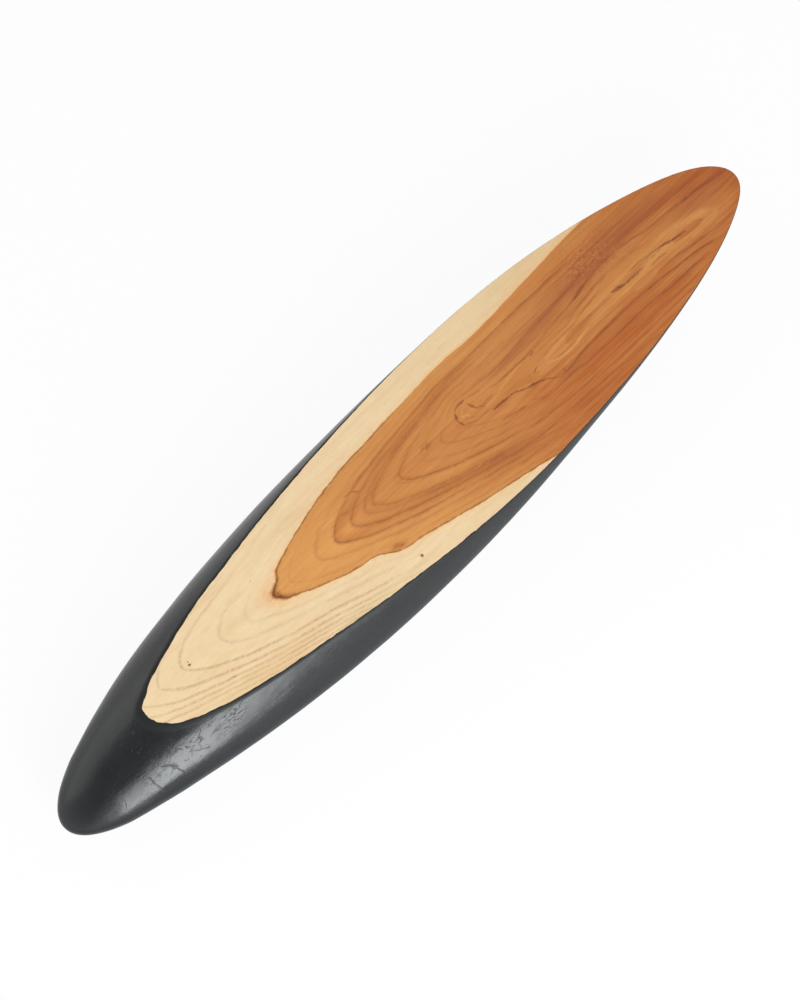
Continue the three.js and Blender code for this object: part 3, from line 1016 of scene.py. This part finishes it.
def flank_strength(side):
    """A function for how strong a ring is here, from its strength at the tip and on the flanks."""
    off_tip = eased(abs(side), 2.5, 13)
    is_upper = is_over(side, 0)
    return lambda tip, upper, lower: between(off_tip, tip, between(is_upper, lower, upper))


def drawn_line(tree, groups, x, y, points, sizes):
    """One long line of the grain, by its points and sizes."""
    run = {"Off": y - hand_curve(x, points), "Along": x, "Start": points[0][0], "End": points[-1][0]}
    return use_group(tree, groups["grain_line"], {**run, **sizes})


def drawn_grain(tree, groups, x, y):
    """Dark edges, bands and pale lines of the long grain lines, as three masks."""
    edges = bands = pales = x * 0
    for points, width, over, under, share, strength in GRAIN_LINES:
        sizes = {"Width": width, "Over": over, "Under": under, "Share": share}
        line = drawn_line(tree, groups, x, y, points, sizes)
        edges = edges + line["Edge"] * strength
        bands = bands + line["Band"] * strength
    for points, width, strength in PALE_LINES:
        pales = pales + drawn_line(tree, groups, x, y, points, {"Width": width})["Edge"] * strength
    return clamped(edges), clamped(bands), clamped(pales)


# Colours that one look uses once: where woods meet, pins and small marks, and wear of the finish and the
# painted shade along its rim
EDGE_PIN_RED = paint(148, 68, 26)
HEART_BORDER = paint(128, 68, 28)
PIN_BROWN = paint(158, 98, 56)
PIN_DARK = paint(84, 56, 34)
SAP_PINK = paint(240, 198, 156)
SAP_GREEN = paint(226, 203, 146)
SAP_WARM_LINE = paint(188, 134, 80)
SAP_MARK = paint(96, 70, 48)
SAP_HALO = paint(247, 178, 98)
SAP_BLUSH = paint(214, 134, 70)
SAP_BORDER = paint(148, 82, 34)
FINISH_DUSTY = paint(42, 41, 41)
# The dark of the cracks and flakes, also used for the painted shade along the finish's rim by the face
FINISH_CRACKED_AND_RIM_SHADE = paint(14, 14, 15)
FINISH_SCRATCHED = paint(96, 98, 98)


def heart_colour(tree, groups, colours, place, mm):
    """The heartwood's colour, its fibres and its marks, for the heartwood and the knot in it."""
    bent = add_node(tree, "ShaderNodeVectorMath", {0: mm}, operation="ADD")
    sway = cloud(mm, (14, 9, 9), 28, 2.0) * 1.1 + cloud(mm, (3, 1.5, 1.5), 29, 2.0) * 0.5
    feed(bent.inputs[1], joined(tree, 0, sway, 0))
    x, y, _ = parts(Flow(bent.outputs[0]))
    log = use_group(tree, groups["rings"], {"Place": place, **groups["ring_sizes"]})
    grain = use_group(tree, groups["grain"], {"Place": mm})
    radius, spread, side = log["Radius"], log["Spread"], log["Side"]
    strength = flank_strength(side)
    comes_and_goes = clamped(0.85 + cloud(mm, (26, 10, 10), 21, 2.0) * 2.2)
    broken = clamped(0.85 + cloud(mm, (4, 1.4, 1.4), 22, 3.0, 0.6) * 2.6)
    rings = ring_bands = x * 0
    for at, width, band, share, tip, upper, lower in HEART_RINGS:
        ring = {"Radius": radius, "Spread": spread, "At": at, "Width": width}
        line = use_group(tree, groups["line"], {**ring, "Band": band, "Band Share": share})
        here = strength(tip, upper, lower)
        rings = rings + line["Edge"] * here
        ring_bands = ring_bands + line["Band"] * here
    fade = 1 - eased(x, RINGS_FADE_START, RINGS_FADE_END)
    rings = clamped(rings) * comes_and_goes * broken * fade
    ring_bands = clamped(ring_bands) * fade
    edges, bands, pales = drawn_grain(tree, groups, x, y)
    edges = edges * broken * clamped(0.85 + cloud(mm, (18, 3, 3), 33, 2.0) * 2.4)
    on_upper = clamped(side / 17)
    on_lower = clamped(-side / 17)
    middle = hand_curve(x, DEEP_MIDDLE)
    depth = between(on_upper, middle, hand_curve(x, DEEP_UPPER))
    depth = between(on_lower, depth, hand_curve(x, DEEP_LOWER))
    ripeness = eased(x, -40, 120)
    off_pith = eased(abs(side), 2, 9)
    ring_place = joined(tree, x, between(off_pith, y, radius), on_upper * 3)
    straight_place = joined(tree, x, y, 0)
    far = eased(x, 20, 110) * 0.8
    ring_streaks = cloud(ring_place, (110, 1.3, 1), 23, 3.0, 0.6)
    streaks = between(far, ring_streaks, cloud(straight_place, (90, 1.3, 1), 37, 3.0, 0.6))
    streaks = streaks * between(ripeness, 0.5, 1.0) * (1 + far * 0.3)
    broad = cloud(ring_place, (120, 5, 1), 24, 2.0)
    broad = between(far, broad, cloud(straight_place, (100, 4, 1), 38, 2.0))
    broad = broad * between(ripeness, 0.35, 1.0)
    blots = cloud(mm, (16, 7, 7), 34, 2.0) * between(ripeness, 0.5, 1.0)
    curl_zone = hump(x, y, 157, 19, 20, 14)
    curls = cloud(mm, (2.8, 1.3, 1.3), 35, 2.0, 0.5, 2.0) * curl_zone
    tone = depth + streaks * 0.85 + broad * 0.5 + blots * 0.3 + curls * 1.1 + grain["Fibre"] * 0.42
    tone = tone - lens(x, y, PALE_LENS, 3.0) * 0.22
    tone = tone + lens(x, y, DARK_TAIL, 0.8) * 0.35
    tone = tone + lens(x, y, DARK_HEAD, 0.8) * 0.2 * (1 - eased(x, 124, 140))
    colour = tinted(colours["heart_pale"], colours["heart_deep"], clamped(tone))
    colour = tinted(colour, colours["heart_deep"], ring_bands * clamped(0.75 + streaks * 2))
    red = eased(cloud(ring_place, (90, 4, 1), 25, 2.0), 0.0, 0.25) * ripeness * 0.35
    red = red + hump(x, y, 160, 17, 40, 8) * (0.5 + curls * 2) + hump(x, y, 226, 0, 24, 6) * 0.4
    red = red + hump(x, y, 110, 12, 34, 5) * 0.3
    colour = tinted(colour, colours["heart_red"], clamped(red))
    colour = tinted(colour, colours["heart_red"], clamped(bands * 0.75))
    pales = pales * (0.8 + cloud(mm, (6, 1.5, 1.5), 36, 2.0) * 1.2)
    colour = tinted(colour, colours["heart_pale"], clamped(pales))
    marks = strokes(tree, groups, mm, HEART_MARKS, 1.2)
    marks = clamped(marks * (0.9 + cloud(mm, (2.2, 0.8, 0.8), 26, 3.0, 0.6) * 2.6))
    stain = hump(x, y, 19, 4.3, 3.6, 2.6) * eased(cloud(mm, (2.2, 2.0, 2.0), 27, 3.0), -0.16, 0.14)
    dark = greater(rings * 0.62, edges * 0.8)
    dark = greater(greater(dark, marks * 0.85), stain * 0.5)
    colour = tinted(colour, colours["heart_line"], clamped(dark))
    glow = hump(x, y, -30.5, -23, 3.4, 1.7) * 0.5 + hump(x, y, -28, -24.8, 2.2, 0.9) * 0.5
    colour = tinted(colour, EDGE_PIN_RED, clamped(glow))
    colour = tinted(colour, colours["heart_deep"], grain["Pores"] * 0.4)
    return colour, grain["Height"] + curls * 3, radius, spread, dark


def heartwood_look(groups, colours):
    material, tree, place, mm = start_look("Oiled heartwood")
    x, y, _ = parts(mm)
    colour, height, radius, spread, dark = heart_colour(tree, groups, colours, place, mm)
    inside = (groups["heart_radius"] - radius) / spread
    rough = cloud(mm, (3, 2, 2), 41, 3.0)
    fuzz = cloud(mm, (2.2, 0.7, 0.7), 43, 3.0, 0.6)
    tip = hump(x, y, -92, 2.5, 8, 7)
    edge = clamped(1 - inside / (0.7 + rough * 1.6 + tip * (2.6 + fuzz * 7)))
    soft_edge = clamped(1 - inside / (3.0 + tip * 2)) * clamped(0.6 + rough * 2)
    plain = eased(x, -10, 45) * eased(y, 0, 10)
    edge = (edge * between(tip, 0.75, 1.0) + soft_edge * between(tip, 0.2, 0.5)) * (1 - plain * 0.85)
    blot = hump(x, y, -92.5, 2, 3, 4.5) * clamped(0.35 + fuzz * 4)
    colour = tinted(colour, HEART_BORDER, clamped(edge + blot * 0.5))
    roughness = 0.56 + dark * 0.08 + cloud(mm, (40, 10, 10), 42, 2.0) * 0.12
    dress(tree, colour, roughness, height)
    return material


def branch_knot_look(groups, colours):
    material, tree, place, mm = start_look("Knot wood")
    x, y, _ = parts(mm)
    colour, height, _, _, dark = heart_colour(tree, groups, colours, place, mm)
    swirl = eased(cloud(mm, (3.5, 2.0, 2.0), 53, 1.0, 0.5, 1.2), 0.03, 0.14)
    pale = hump(x, y, 47.5, 3, 3.5, 3.0)
    colour = tinted(colour, colours["heart_pale"], clamped(pale * swirl))
    dress(tree, colour, 0.52 + dark * 0.1, height)
    return material


def pin_knot_look(groups, colours):
    material, tree, _, mm = start_look("Pin knot wood")
    x, y, _ = parts(mm)
    grain = use_group(tree, groups["grain"], {"Place": mm})
    rough = cloud(mm, (0.9, 0.9, 0.9), 51, 3.0)
    side = hump(x, y, -25, -35.7, 1.15, 1.0)
    nose = hump(x, y, -149.9, 7.1, 1.0, 0.45)
    colour = tinted(colours["sap_deep"], PIN_BROWN, clamped(side * 1.2 + rough))
    colour = tinted(colour, PIN_DARK, clamped(nose * 1.4 - 0.1 + rough * 2))
    dress(tree, colour, 0.6 + rough * 0.1, grain["Height"] + rough)
    return material


def pith_look(groups, colours):
    material, tree, _, mm = start_look("Pith")
    grain = use_group(tree, groups["grain"], {"Place": mm})
    cells = cloud(mm, (5, 0.7, 0.7), 52, 3.0, 0.6)
    tone = clamped(0.42 + cells * 1.8 + grain["Fibre"] * 0.4)
    colour = tinted(colours["heart_pale"], colours["heart_line"], tone)
    dress(tree, colour, 0.62 + cells * 0.15, grain["Height"] + cells)
    return material


# Fine dark marks on the sapwood: from x, y, to x, y, width, strength
SAP_MARKS = [
    (-149.5, 9, -149, 8.5, 0.5, 0.9),
    (-148, 7.5, -147.5, 7.5, 0.4, 0.4),
    (-139.5, -13, -137, -14, 0.5, 0.4),
    (-97.5, 17, -96, 17.5, 0.4, 0.35),
]


def sapwood_look(groups, colours):
    material, tree, place, mm = start_look("Oiled sapwood")
    x, y, _ = parts(mm)
    log = use_group(tree, groups["rings"], {"Place": place, **groups["ring_sizes"]})
    grain = use_group(tree, groups["grain"], {"Place": mm, "Fineness": 0.9})
    radius, spread, side = log["Radius"], log["Spread"], log["Side"]
    strength = flank_strength(side)
    comes_and_goes = clamped(0.85 + cloud(mm, (30, 9, 9), 61, 2.0) * 2.4)
    broken = clamped(0.8 + cloud(mm, (2.4, 1.0, 1.0), 62, 3.0, 0.6) * 3.6)
    rings = x * 0
    for at, width, tip, upper, lower in SAP_RINGS:
        ring = {"Radius": radius, "Spread": spread, "At": at, "Width": width, **SAP_BAND}
        line = use_group(tree, groups["line"], ring)
        rings = rings + greater(line["Edge"], line["Band"]) * strength(tip, upper, lower)
    far = eased(x, -72, -12)
    fade = 1 - far * 0.85 - is_over(side, 0) * eased(x, -125, -90) * 0.6
    rings = clamped(rings) * comes_and_goes * broken * clamped(fade)
    ring_place = joined(tree, x, radius, side * 0.02)
    streaks = cloud(ring_place, (90, 1.4, 1), 63, 3.0, 0.6)
    broad = cloud(mm, (60, 9, 9), 64, 2.0) * 0.7
    blots = cloud(mm, (7, 4, 4), 69, 3.0, 0.6)
    warm = eased(-side, 12, 34) * (1 - eased(x, -115, -65)) * 0.35
    tone = 0.3 + streaks * 0.6 + broad * 0.8 + blots * 0.5 + warm + grain["Fibre"] * 0.35
    tone = clamped(tone + eased(x, 60, 150) * 0.45)
    colour = tinted(colours["sap_pale"], colours["sap_deep"], tone)
    pink = eased(cloud(mm, (50, 4, 4), 65, 2.0), 0.02, 0.2)
    colour = tinted(colour, SAP_PINK, pink * 0.45)
    green = eased(cloud(mm, (50, 5, 5), 66, 2.0), 0.04, 0.2)
    colour = tinted(colour, SAP_GREEN, green * 0.4)
    dashes = eased(cloud(mm, (9, 0.5, 0.5), 70, 2.0), 0.12, 0.26)
    dashes = dashes * clamped(0.4 + cloud(mm, (30, 10, 10), 67, 1.0) * 3)
    line_colour = tinted(colours["sap_line"], SAP_WARM_LINE, clamped(warm * 3))
    specks = greater(grain["Pores"] * 0.2, dashes * 0.35)
    marks = strokes(tree, groups, mm, SAP_MARKS, 0.6)
    colour = tinted(colour, line_colour, clamped(rings * 0.85 + specks))
    colour = tinted(colour, SAP_MARK, marks)
    outside = (radius - groups["heart_radius"]) / spread
    rough = cloud(mm, (3, 2, 2), 41, 3.0)
    fuzz = cloud(mm, (2.6, 0.8, 0.8), 43, 3.0, 0.6)
    tip = hump(x, y, -93, 3, 14, 9)
    halo = reckon("EXPONENT", -outside / (1.1 + tip * 3.4)) * clamped(0.7 + rough * 2.0)
    colour = tinted(colour, SAP_HALO, clamped(halo * 0.9))
    edge = clamped(1 - outside / (0.45 + rough * 1.4 + tip * (1.0 + fuzz * 8)))
    plain = eased(x, -10, 45) * eased(y, 0, 10)
    blush = hump(x, y, -95.5, 3.5, 2.8, 4.5) * clamped(0.45 + fuzz * 3)
    colour = tinted(colour, SAP_BLUSH, clamped(blush * 0.6))
    colour = tinted(colour, SAP_BORDER, edge * (0.85 - plain * 0.7))
    roughness = 0.6 + cloud(mm, (40, 10, 10), 68, 2.0) * 0.1
    dress(tree, colour, roughness, grain["Height"])
    return material


# Cracks and wrinkles in the black finish near the nose: from x, y, to x, y, width, strength
FINISH_CRACKS = [
    (-195, -19.5, -191, -22.5, 0.5, 0.8),
    (-191, -22.5, -190, -25, 0.55, 1.0),
    (-190, -25, -188, -29.5, 0.55, 0.9),
    (-204, -18, -203.5, -22, 0.7, 0.7),
    (-203.5, -22, -202.5, -27, 0.7, 0.7),
    (-220, -17.5, -222, -20.5, 0.4, 0.5),
    (-169, -20.5, -172.5, -22.5, 0.35, 0.5),
    (-172.5, -22.5, -170, -25, 0.35, 0.5),
    (-178.5, -25, -171, -29, 0.4, 0.7),
    (-184.5, -18, -182, -21, 0.4, 0.5),
    (-141, -34.5, -118, -36.5, 0.35, 0.5),
]


def finish_look(groups, colours):
    material, tree, _, mm = start_look("Satin black finish")
    x, y, z = parts(mm)
    brushed = cloud(mm, (40, 1.1, 1.1), 71, 3.0, 0.6)
    dimples = cloud(mm, (11, 5, 5), 72, 2.0)
    fine = cloud(mm, (7, 0.7, 0.7), 73, 3.0, 0.6)
    cracks = strokes(tree, groups, mm, FINISH_CRACKS, 1.8)
    flake_zone = hump(x, y, -152, -27, 9, 5)
    flakes = flake_zone * eased(cloud(mm, (3.6, 0.55, 0.55), 74, 3.0, 0.6), 0.02, 0.2)
    open_grain = hump(x, y, -130, -32, 22, 6)
    ripples = open_grain * cloud(mm, (9, 0.8, 0.8), 79, 2.0)
    wrinkle_zone = hump(x, y, -184, -23, 22, 8)
    wrinkles = wrinkle_zone * cloud(mm, (3.0, 1.9, 1.9), 75, 4.0, 0.75, 0.8)
    crackle = abs(cloud(mm, (7, 5, 5), 81, 3.0, 0.6, 1.2))
    crackle = eased(crackle, 0.022, 0.003) * wrinkle_zone * eased(cloud(mm, (6, 4, 4), 82, 1.0), -0.02, 0.1)
    burnish = hump(x, y, -183, -26, 22, 9)
    height = dimples * 0.12 + (brushed * 0.045 + fine * 0.04) * (1 - burnish * 0.6)
    height = height - cracks * 0.09 - flakes * 0.06
    height = height + wrinkles * 0.09 + ripples * 0.12 - crackle * 0.08
    scratch_zone = hump(x, y, -200, 1, 14, 10)
    hairs = abs(cloud(mm, (7, 3.5, 3.5), 76, 1.0))
    scratches = scratch_zone * eased(hairs, 0.012, 0.002) * eased(cloud(mm, (5, 4, 4), 80, 1.0), 0.0, 0.1)
    dust = clamped(0.35 + cloud(mm, (30, 12, 12), 77, 3.0) * 1.6)
    colour = tinted(colours["finish"], FINISH_DUSTY, dust * 0.5)
    # Painted shade: the rim darkens the finish's colour along the face's edge, on top of the real cracks and
    # flakes; it also raises the roughness there
    rim = eased(z, groups["height"] - 1.3, groups["height"] - 0.3)
    wear_and_painted_rim_shade = clamped(cracks * 0.8 + flakes * 0.6 + rim * 0.9 + crackle * 0.4)
    colour = tinted(colour, FINISH_CRACKED_AND_RIM_SHADE, wear_and_painted_rim_shade)
    colour = tinted(colour, FINISH_SCRATCHED, scratches * 0.45)
    mottle = cloud(mm, (14, 7, 7), 78, 3.0, 0.6) * 0.16
    roughness = 0.26 + brushed * 0.12 + dust * 0.05 + mottle + rim * 0.4 + cracks * 0.2 + flakes * 0.2
    roughness = roughness - burnish * 0.12
    dress(tree, colour, roughness, height, FINISH_RELIEF)
    return material


def built(name, make, *facts):
    """The group of this name, made only once."""
    return bpy.data.node_groups.get(name) or make(name, *facts)


def shared_groups(shape):
    """The groups that more than one piece uses, and the sizes that the looks go by, in metres and in mm."""
    solid_rings = built("Log rings of the solid", log_rings, "GeometryNodeTree")
    return {
        "spindle": built("Carved spindle", carved_spindle, shape),
        "log": built("Heartwood log", heartwood_log, shape, solid_rings),
        "peg": built("Peg", peg),
        "rings": built("Log rings", log_rings, "ShaderNodeTree"),
        "line": built("Ring line", ring_line),
        "grain_line": built("Grain line", grain_line),
        "grain": built("Wood grain", wood_grain),
        "stroke": built("Stroke", stroke),
        "ring_sizes": sizes_of(shape, RING_SIZES),
        "heart_radius": shape.heart_radius / MM,
        "height": shape.height / MM,
    }


def colours_of(context):
    """The chosen colours, by name."""
    chosen = context.scene.plate_colours
    return {name: tuple(getattr(chosen, name)) for name in PlateColours.__annotations__}


class PLATE_OT_black_finish(bpy.types.Operator):
    """Grow the black finish on the round sides"""

    bl_idname = "plate.black_finish"
    bl_label = "Black finish"

    def execute(self, context):
        shape = context.scene.plate_shape
        groups = shared_groups(shape)
        sizes = sizes_of(shape, (*BODY_SIZES, *FINISH_SIZES, "foot_reveal"))
        tree = finish_tree(groups, shape, sizes)
        piece = grow("Black_finish", tree, {**sizes, "Material": finish_look(groups, colours_of(context))})
        piece.data.shade_smooth()
        piece.data.set_sharp_from_angle(angle=SHARP_ANGLE)
        settle(piece, "black_finish", "black_finish")
        return {"FINISHED"}


class PLATE_OT_woods(bpy.types.Operator):
    """Grow the heartwood and the sapwood"""

    bl_idname = "plate.woods"
    bl_label = "Heartwood and sapwood"

    def execute(self, context):
        shape = context.scene.plate_shape
        groups = shared_groups(shape)
        colours = colours_of(context)
        sizes = sizes_of(shape, BODY_SIZES + FINISH_SIZES + LOG_SIZES)
        for name, node, look in (
            ("Heartwood", "heartwood", heartwood_look),
            ("Sapwood", "sapwood", sapwood_look),
        ):
            tree = wood_tree(groups, shape, name, sizes)
            piece = grow(name, tree, {**sizes, "Material": look(groups, colours)})
            settle(piece, node, node)
        return {"FINISHED"}


class PLATE_OT_knots(bpy.types.Operator):
    """Grow the pith, the branch knot and the pin knots"""

    bl_idname = "plate.knots"
    bl_label = "Pith and knots"

    def execute(self, context):
        shape = context.scene.plate_shape
        groups = shared_groups(shape)
        colours = colours_of(context)
        pith = pith_look(groups, colours)
        branch = branch_knot_look(groups, colours)
        pin = pin_knot_look(groups, colours)
        for name, node, slot, material in (
            ("Pith", "pith", "pith", pith),
            ("Branch_knot", "branch_knot", "knot_wood", branch),
            ("Pin_knot_edge", "pin_knot_edge", "knot_wood", branch),
            ("Pin_knot_nose", "pin_knot_nose", "knot_wood", pin),
            ("Pin_knot_side", "pin_knot_side", "knot_wood", pin),
        ):
            piece = grow(name, peg_tree(groups, name), {"Height": shape.height, "Material": material})
            settle(piece, slot, node)
        return {"FINISHED"}


# The floor reaches this far, in metres, and scatters this much light. The camera sees a share of it as
# plain white, and the rest is the paper that takes the plate's shadow
FLOOR_REACH = 14.0
FLOOR_PAPER = 0.94
FLOOR_WHITE = 0.93

# The lamps, in metres: where each stands, what it faces, its roll in degrees, and its colour
SOFTBOX = ((-0.46, -1.24, 0.61), (-0.15, -0.02, 0.03), -6, (0.955, 0.99, 1.0))
DIM_FILL = ((-0.69, 1.2, 0.78), (-0.2, 0.0, 0.03), 0, (1.0, 1.0, 1.0))

# Width and height of the lamps, and the share of the softbox's power that goes to its brighter centre
SOFTBOX_SIZE = (0.55, 1.2)
CENTRE_SIZE = (0.32, 0.62)
DIM_FILL_SIZE = (1.2, 1.1)
CENTRE_SHARE = 0.18

# The room's light by height, from its floor (-1) to its ceiling (1)
ROOM_LEVELS = [(-1, 1), (0.1, 1), (0.35, 0.9), (0.65, 0.7), (0.82, 0.4), (1, 0.22)]


def lamp(name, stand, size, power):
    """A soft rectangular lamp on its stand."""
    place, aim, roll, colour = stand
    data = bpy.data.lights.new(name, "AREA")
    data.shape = "RECTANGLE"
    data.size, data.size_y = size
    data.energy = power
    data.color = colour
    light = bpy.data.objects.new(name, data)
    light.location = place
    light.rotation_mode = "QUATERNION"
    facing = (Vector(aim) - Vector(place)).to_track_quat("-Z", "Y")
    light.rotation_quaternion = facing @ Quaternion((0, 0, 1), math.radians(roll))
    bpy.context.scene.collection.objects.link(light)


def pale_floor():
    """A plain pale floor. It shows white and keeps the plate's soft shadow. The black finish mirrors it with
    a painted shadow: dimmer beside the plate on the softbox's side, and on the far side of the nose."""
    mesh = bpy.data.meshes.new("Floor")
    corners = [(x * FLOOR_REACH, y * FLOOR_REACH, 0) for x, y in ((-1, -1), (1, -1), (1, 1), (-1, 1))]
    mesh.from_pydata(corners, [], [(0, 1, 2, 3)])
    floor = bpy.data.objects.new("Floor", mesh)
    bpy.context.scene.collection.objects.link(floor)
    material, tree = new_material("Pale floor")
    paper = result(tree, "ShaderNodeBsdfDiffuse", {"Color": (FLOOR_PAPER, FLOOR_PAPER, FLOOR_PAPER, 1.0)})
    glow = add_node(tree, "ShaderNodeEmission", {"Strength": 1.0})
    x, y, _ = parts(object_place(tree))
    # Painted shadow: the floor that the black finish mirrors is darkened beside the plate on the softbox's
    # side and past the nose, standing in for the plate's shadow there
    dim = hump(x, y, 0, -0.05, 0.6, 0.045) + hump(x, y, -0.26, 0.08, 0.09, 0.06) * 0.55
    floor_mirror_with_painted_shadow = tinted(paint(249, 249, 248), paint(167, 173, 175), dim)
    path = {output.name: Flow(output) for output in add_node(tree, "ShaderNodeLightPath").outputs}
    seen = greater(path["Is Camera Ray"], path["Is Transmission Ray"])
    mirrored = path["Is Glossy Ray"]
    feed(glow.inputs["Color"], tinted(paint(255, 255, 255), floor_mirror_with_painted_shadow, mirrored))
    share = greater(seen * FLOOR_WHITE, mirrored)
    mix = result(tree, "ShaderNodeMixShader", {0: share, 1: paper, 2: Flow(glow.outputs[0])})
    add_node(tree, "ShaderNodeOutputMaterial", {"Surface": mix})
    arrange(tree)
    mesh.materials.append(material)


def studio_room(strength):
    """Pale walls and a dim ceiling round the plate, darker in the corner beside the softbox."""
    world = bpy.data.worlds.new("Studio")
    bpy.context.scene.world = world
    world.use_nodes = True
    tree = world.node_tree
    tree.nodes.clear()
    x, y, z = parts(Flow(add_node(tree, "ShaderNodeTexCoord").outputs["Generated"]))
    level = hand_curve(z, ROOM_LEVELS)
    level = level * (1 - hump(x, y, -0.6, -0.37, 0.25, 0.25) * 0.7)
    inputs = {"Color": joined(tree, level, level, level), "Strength": strength}
    add_node(tree, "ShaderNodeOutputWorld", {"Surface": result(tree, "ShaderNodeBackground", inputs)})
    arrange(tree)


def direction(azimuth, elevation):
    """From the plate towards the camera."""
    flat = math.cos(elevation)
    return Vector((math.sin(azimuth) * flat, -math.cos(azimuth) * flat, math.sin(elevation)))


class PLATE_OT_stage(bpy.types.Operator):
    """Set the pale floor, the soft light and the camera"""

    bl_idname = "plate.stage"
    bl_label = "Floor, light and camera"

    def execute(self, context):
        stage = context.scene.plate_stage
        pale_floor()
        studio_room(stage.room)
        lamp("Softbox", SOFTBOX, SOFTBOX_SIZE, stage.softbox * (1 - CENTRE_SHARE))
        lamp("Softbox centre", SOFTBOX, CENTRE_SIZE, stage.softbox * CENTRE_SHARE)
        lamp("Dim fill", DIM_FILL, DIM_FILL_SIZE, stage.fill)
        data = bpy.data.cameras.new("Camera")
        data.lens = stage.lens
        camera = bpy.data.objects.new("Camera", data)
        back = direction(stage.azimuth, stage.elevation)
        camera.location = Vector(stage.aim) + back * stage.distance
        camera.rotation_mode = "QUATERNION"
        camera.rotation_quaternion = (-back).to_track_quat("-Z", "Y")
        context.scene.collection.objects.link(camera)
        context.scene.camera = camera
        context.scene.view_settings.view_transform = "Standard"
        return {"FINISHED"}


class PLATE_PT_pieces(bpy.types.Panel):
    """Sizes, colours and pieces of the plate"""

    bl_label = "Carved serving plate"
    bl_space_type = "VIEW_3D"
    bl_region_type = "UI"
    bl_category = "Plate"

    def draw(self, context):
        scene = context.scene
        groups = {"Sizes": scene.plate_shape, "Colours": scene.plate_colours, "Stage": scene.plate_stage}
        for title, group in groups.items():
            box = self.layout.box()
            box.label(text=title)
            for name in type(group).__annotations__:
                box.prop(group, name)
        for operator in OPERATORS:
            self.layout.operator(operator.bl_idname)


OPERATORS = (PLATE_OT_black_finish, PLATE_OT_woods, PLATE_OT_knots, PLATE_OT_stage)
CLASSES = (PlateShape, PlateColours, PlateStage, *OPERATORS, PLATE_PT_pieces)


def register():
    for cls in CLASSES:
        bpy.utils.register_class(cls)
    bpy.types.Scene.plate_shape = PointerProperty(type=PlateShape)
    bpy.types.Scene.plate_colours = PointerProperty(type=PlateColours)
    bpy.types.Scene.plate_stage = PointerProperty(type=PlateStage)


def unregister():
    del bpy.types.Scene.plate_stage
    del bpy.types.Scene.plate_colours
    del bpy.types.Scene.plate_shape
    for cls in reversed(CLASSES):
        bpy.utils.unregister_class(cls)


def main():
    register()
    bpy.ops.plate.black_finish()
    bpy.ops.plate.woods()
    bpy.ops.plate.knots()
    bpy.ops.plate.stage()


if __name__ == "__main__":
    main()
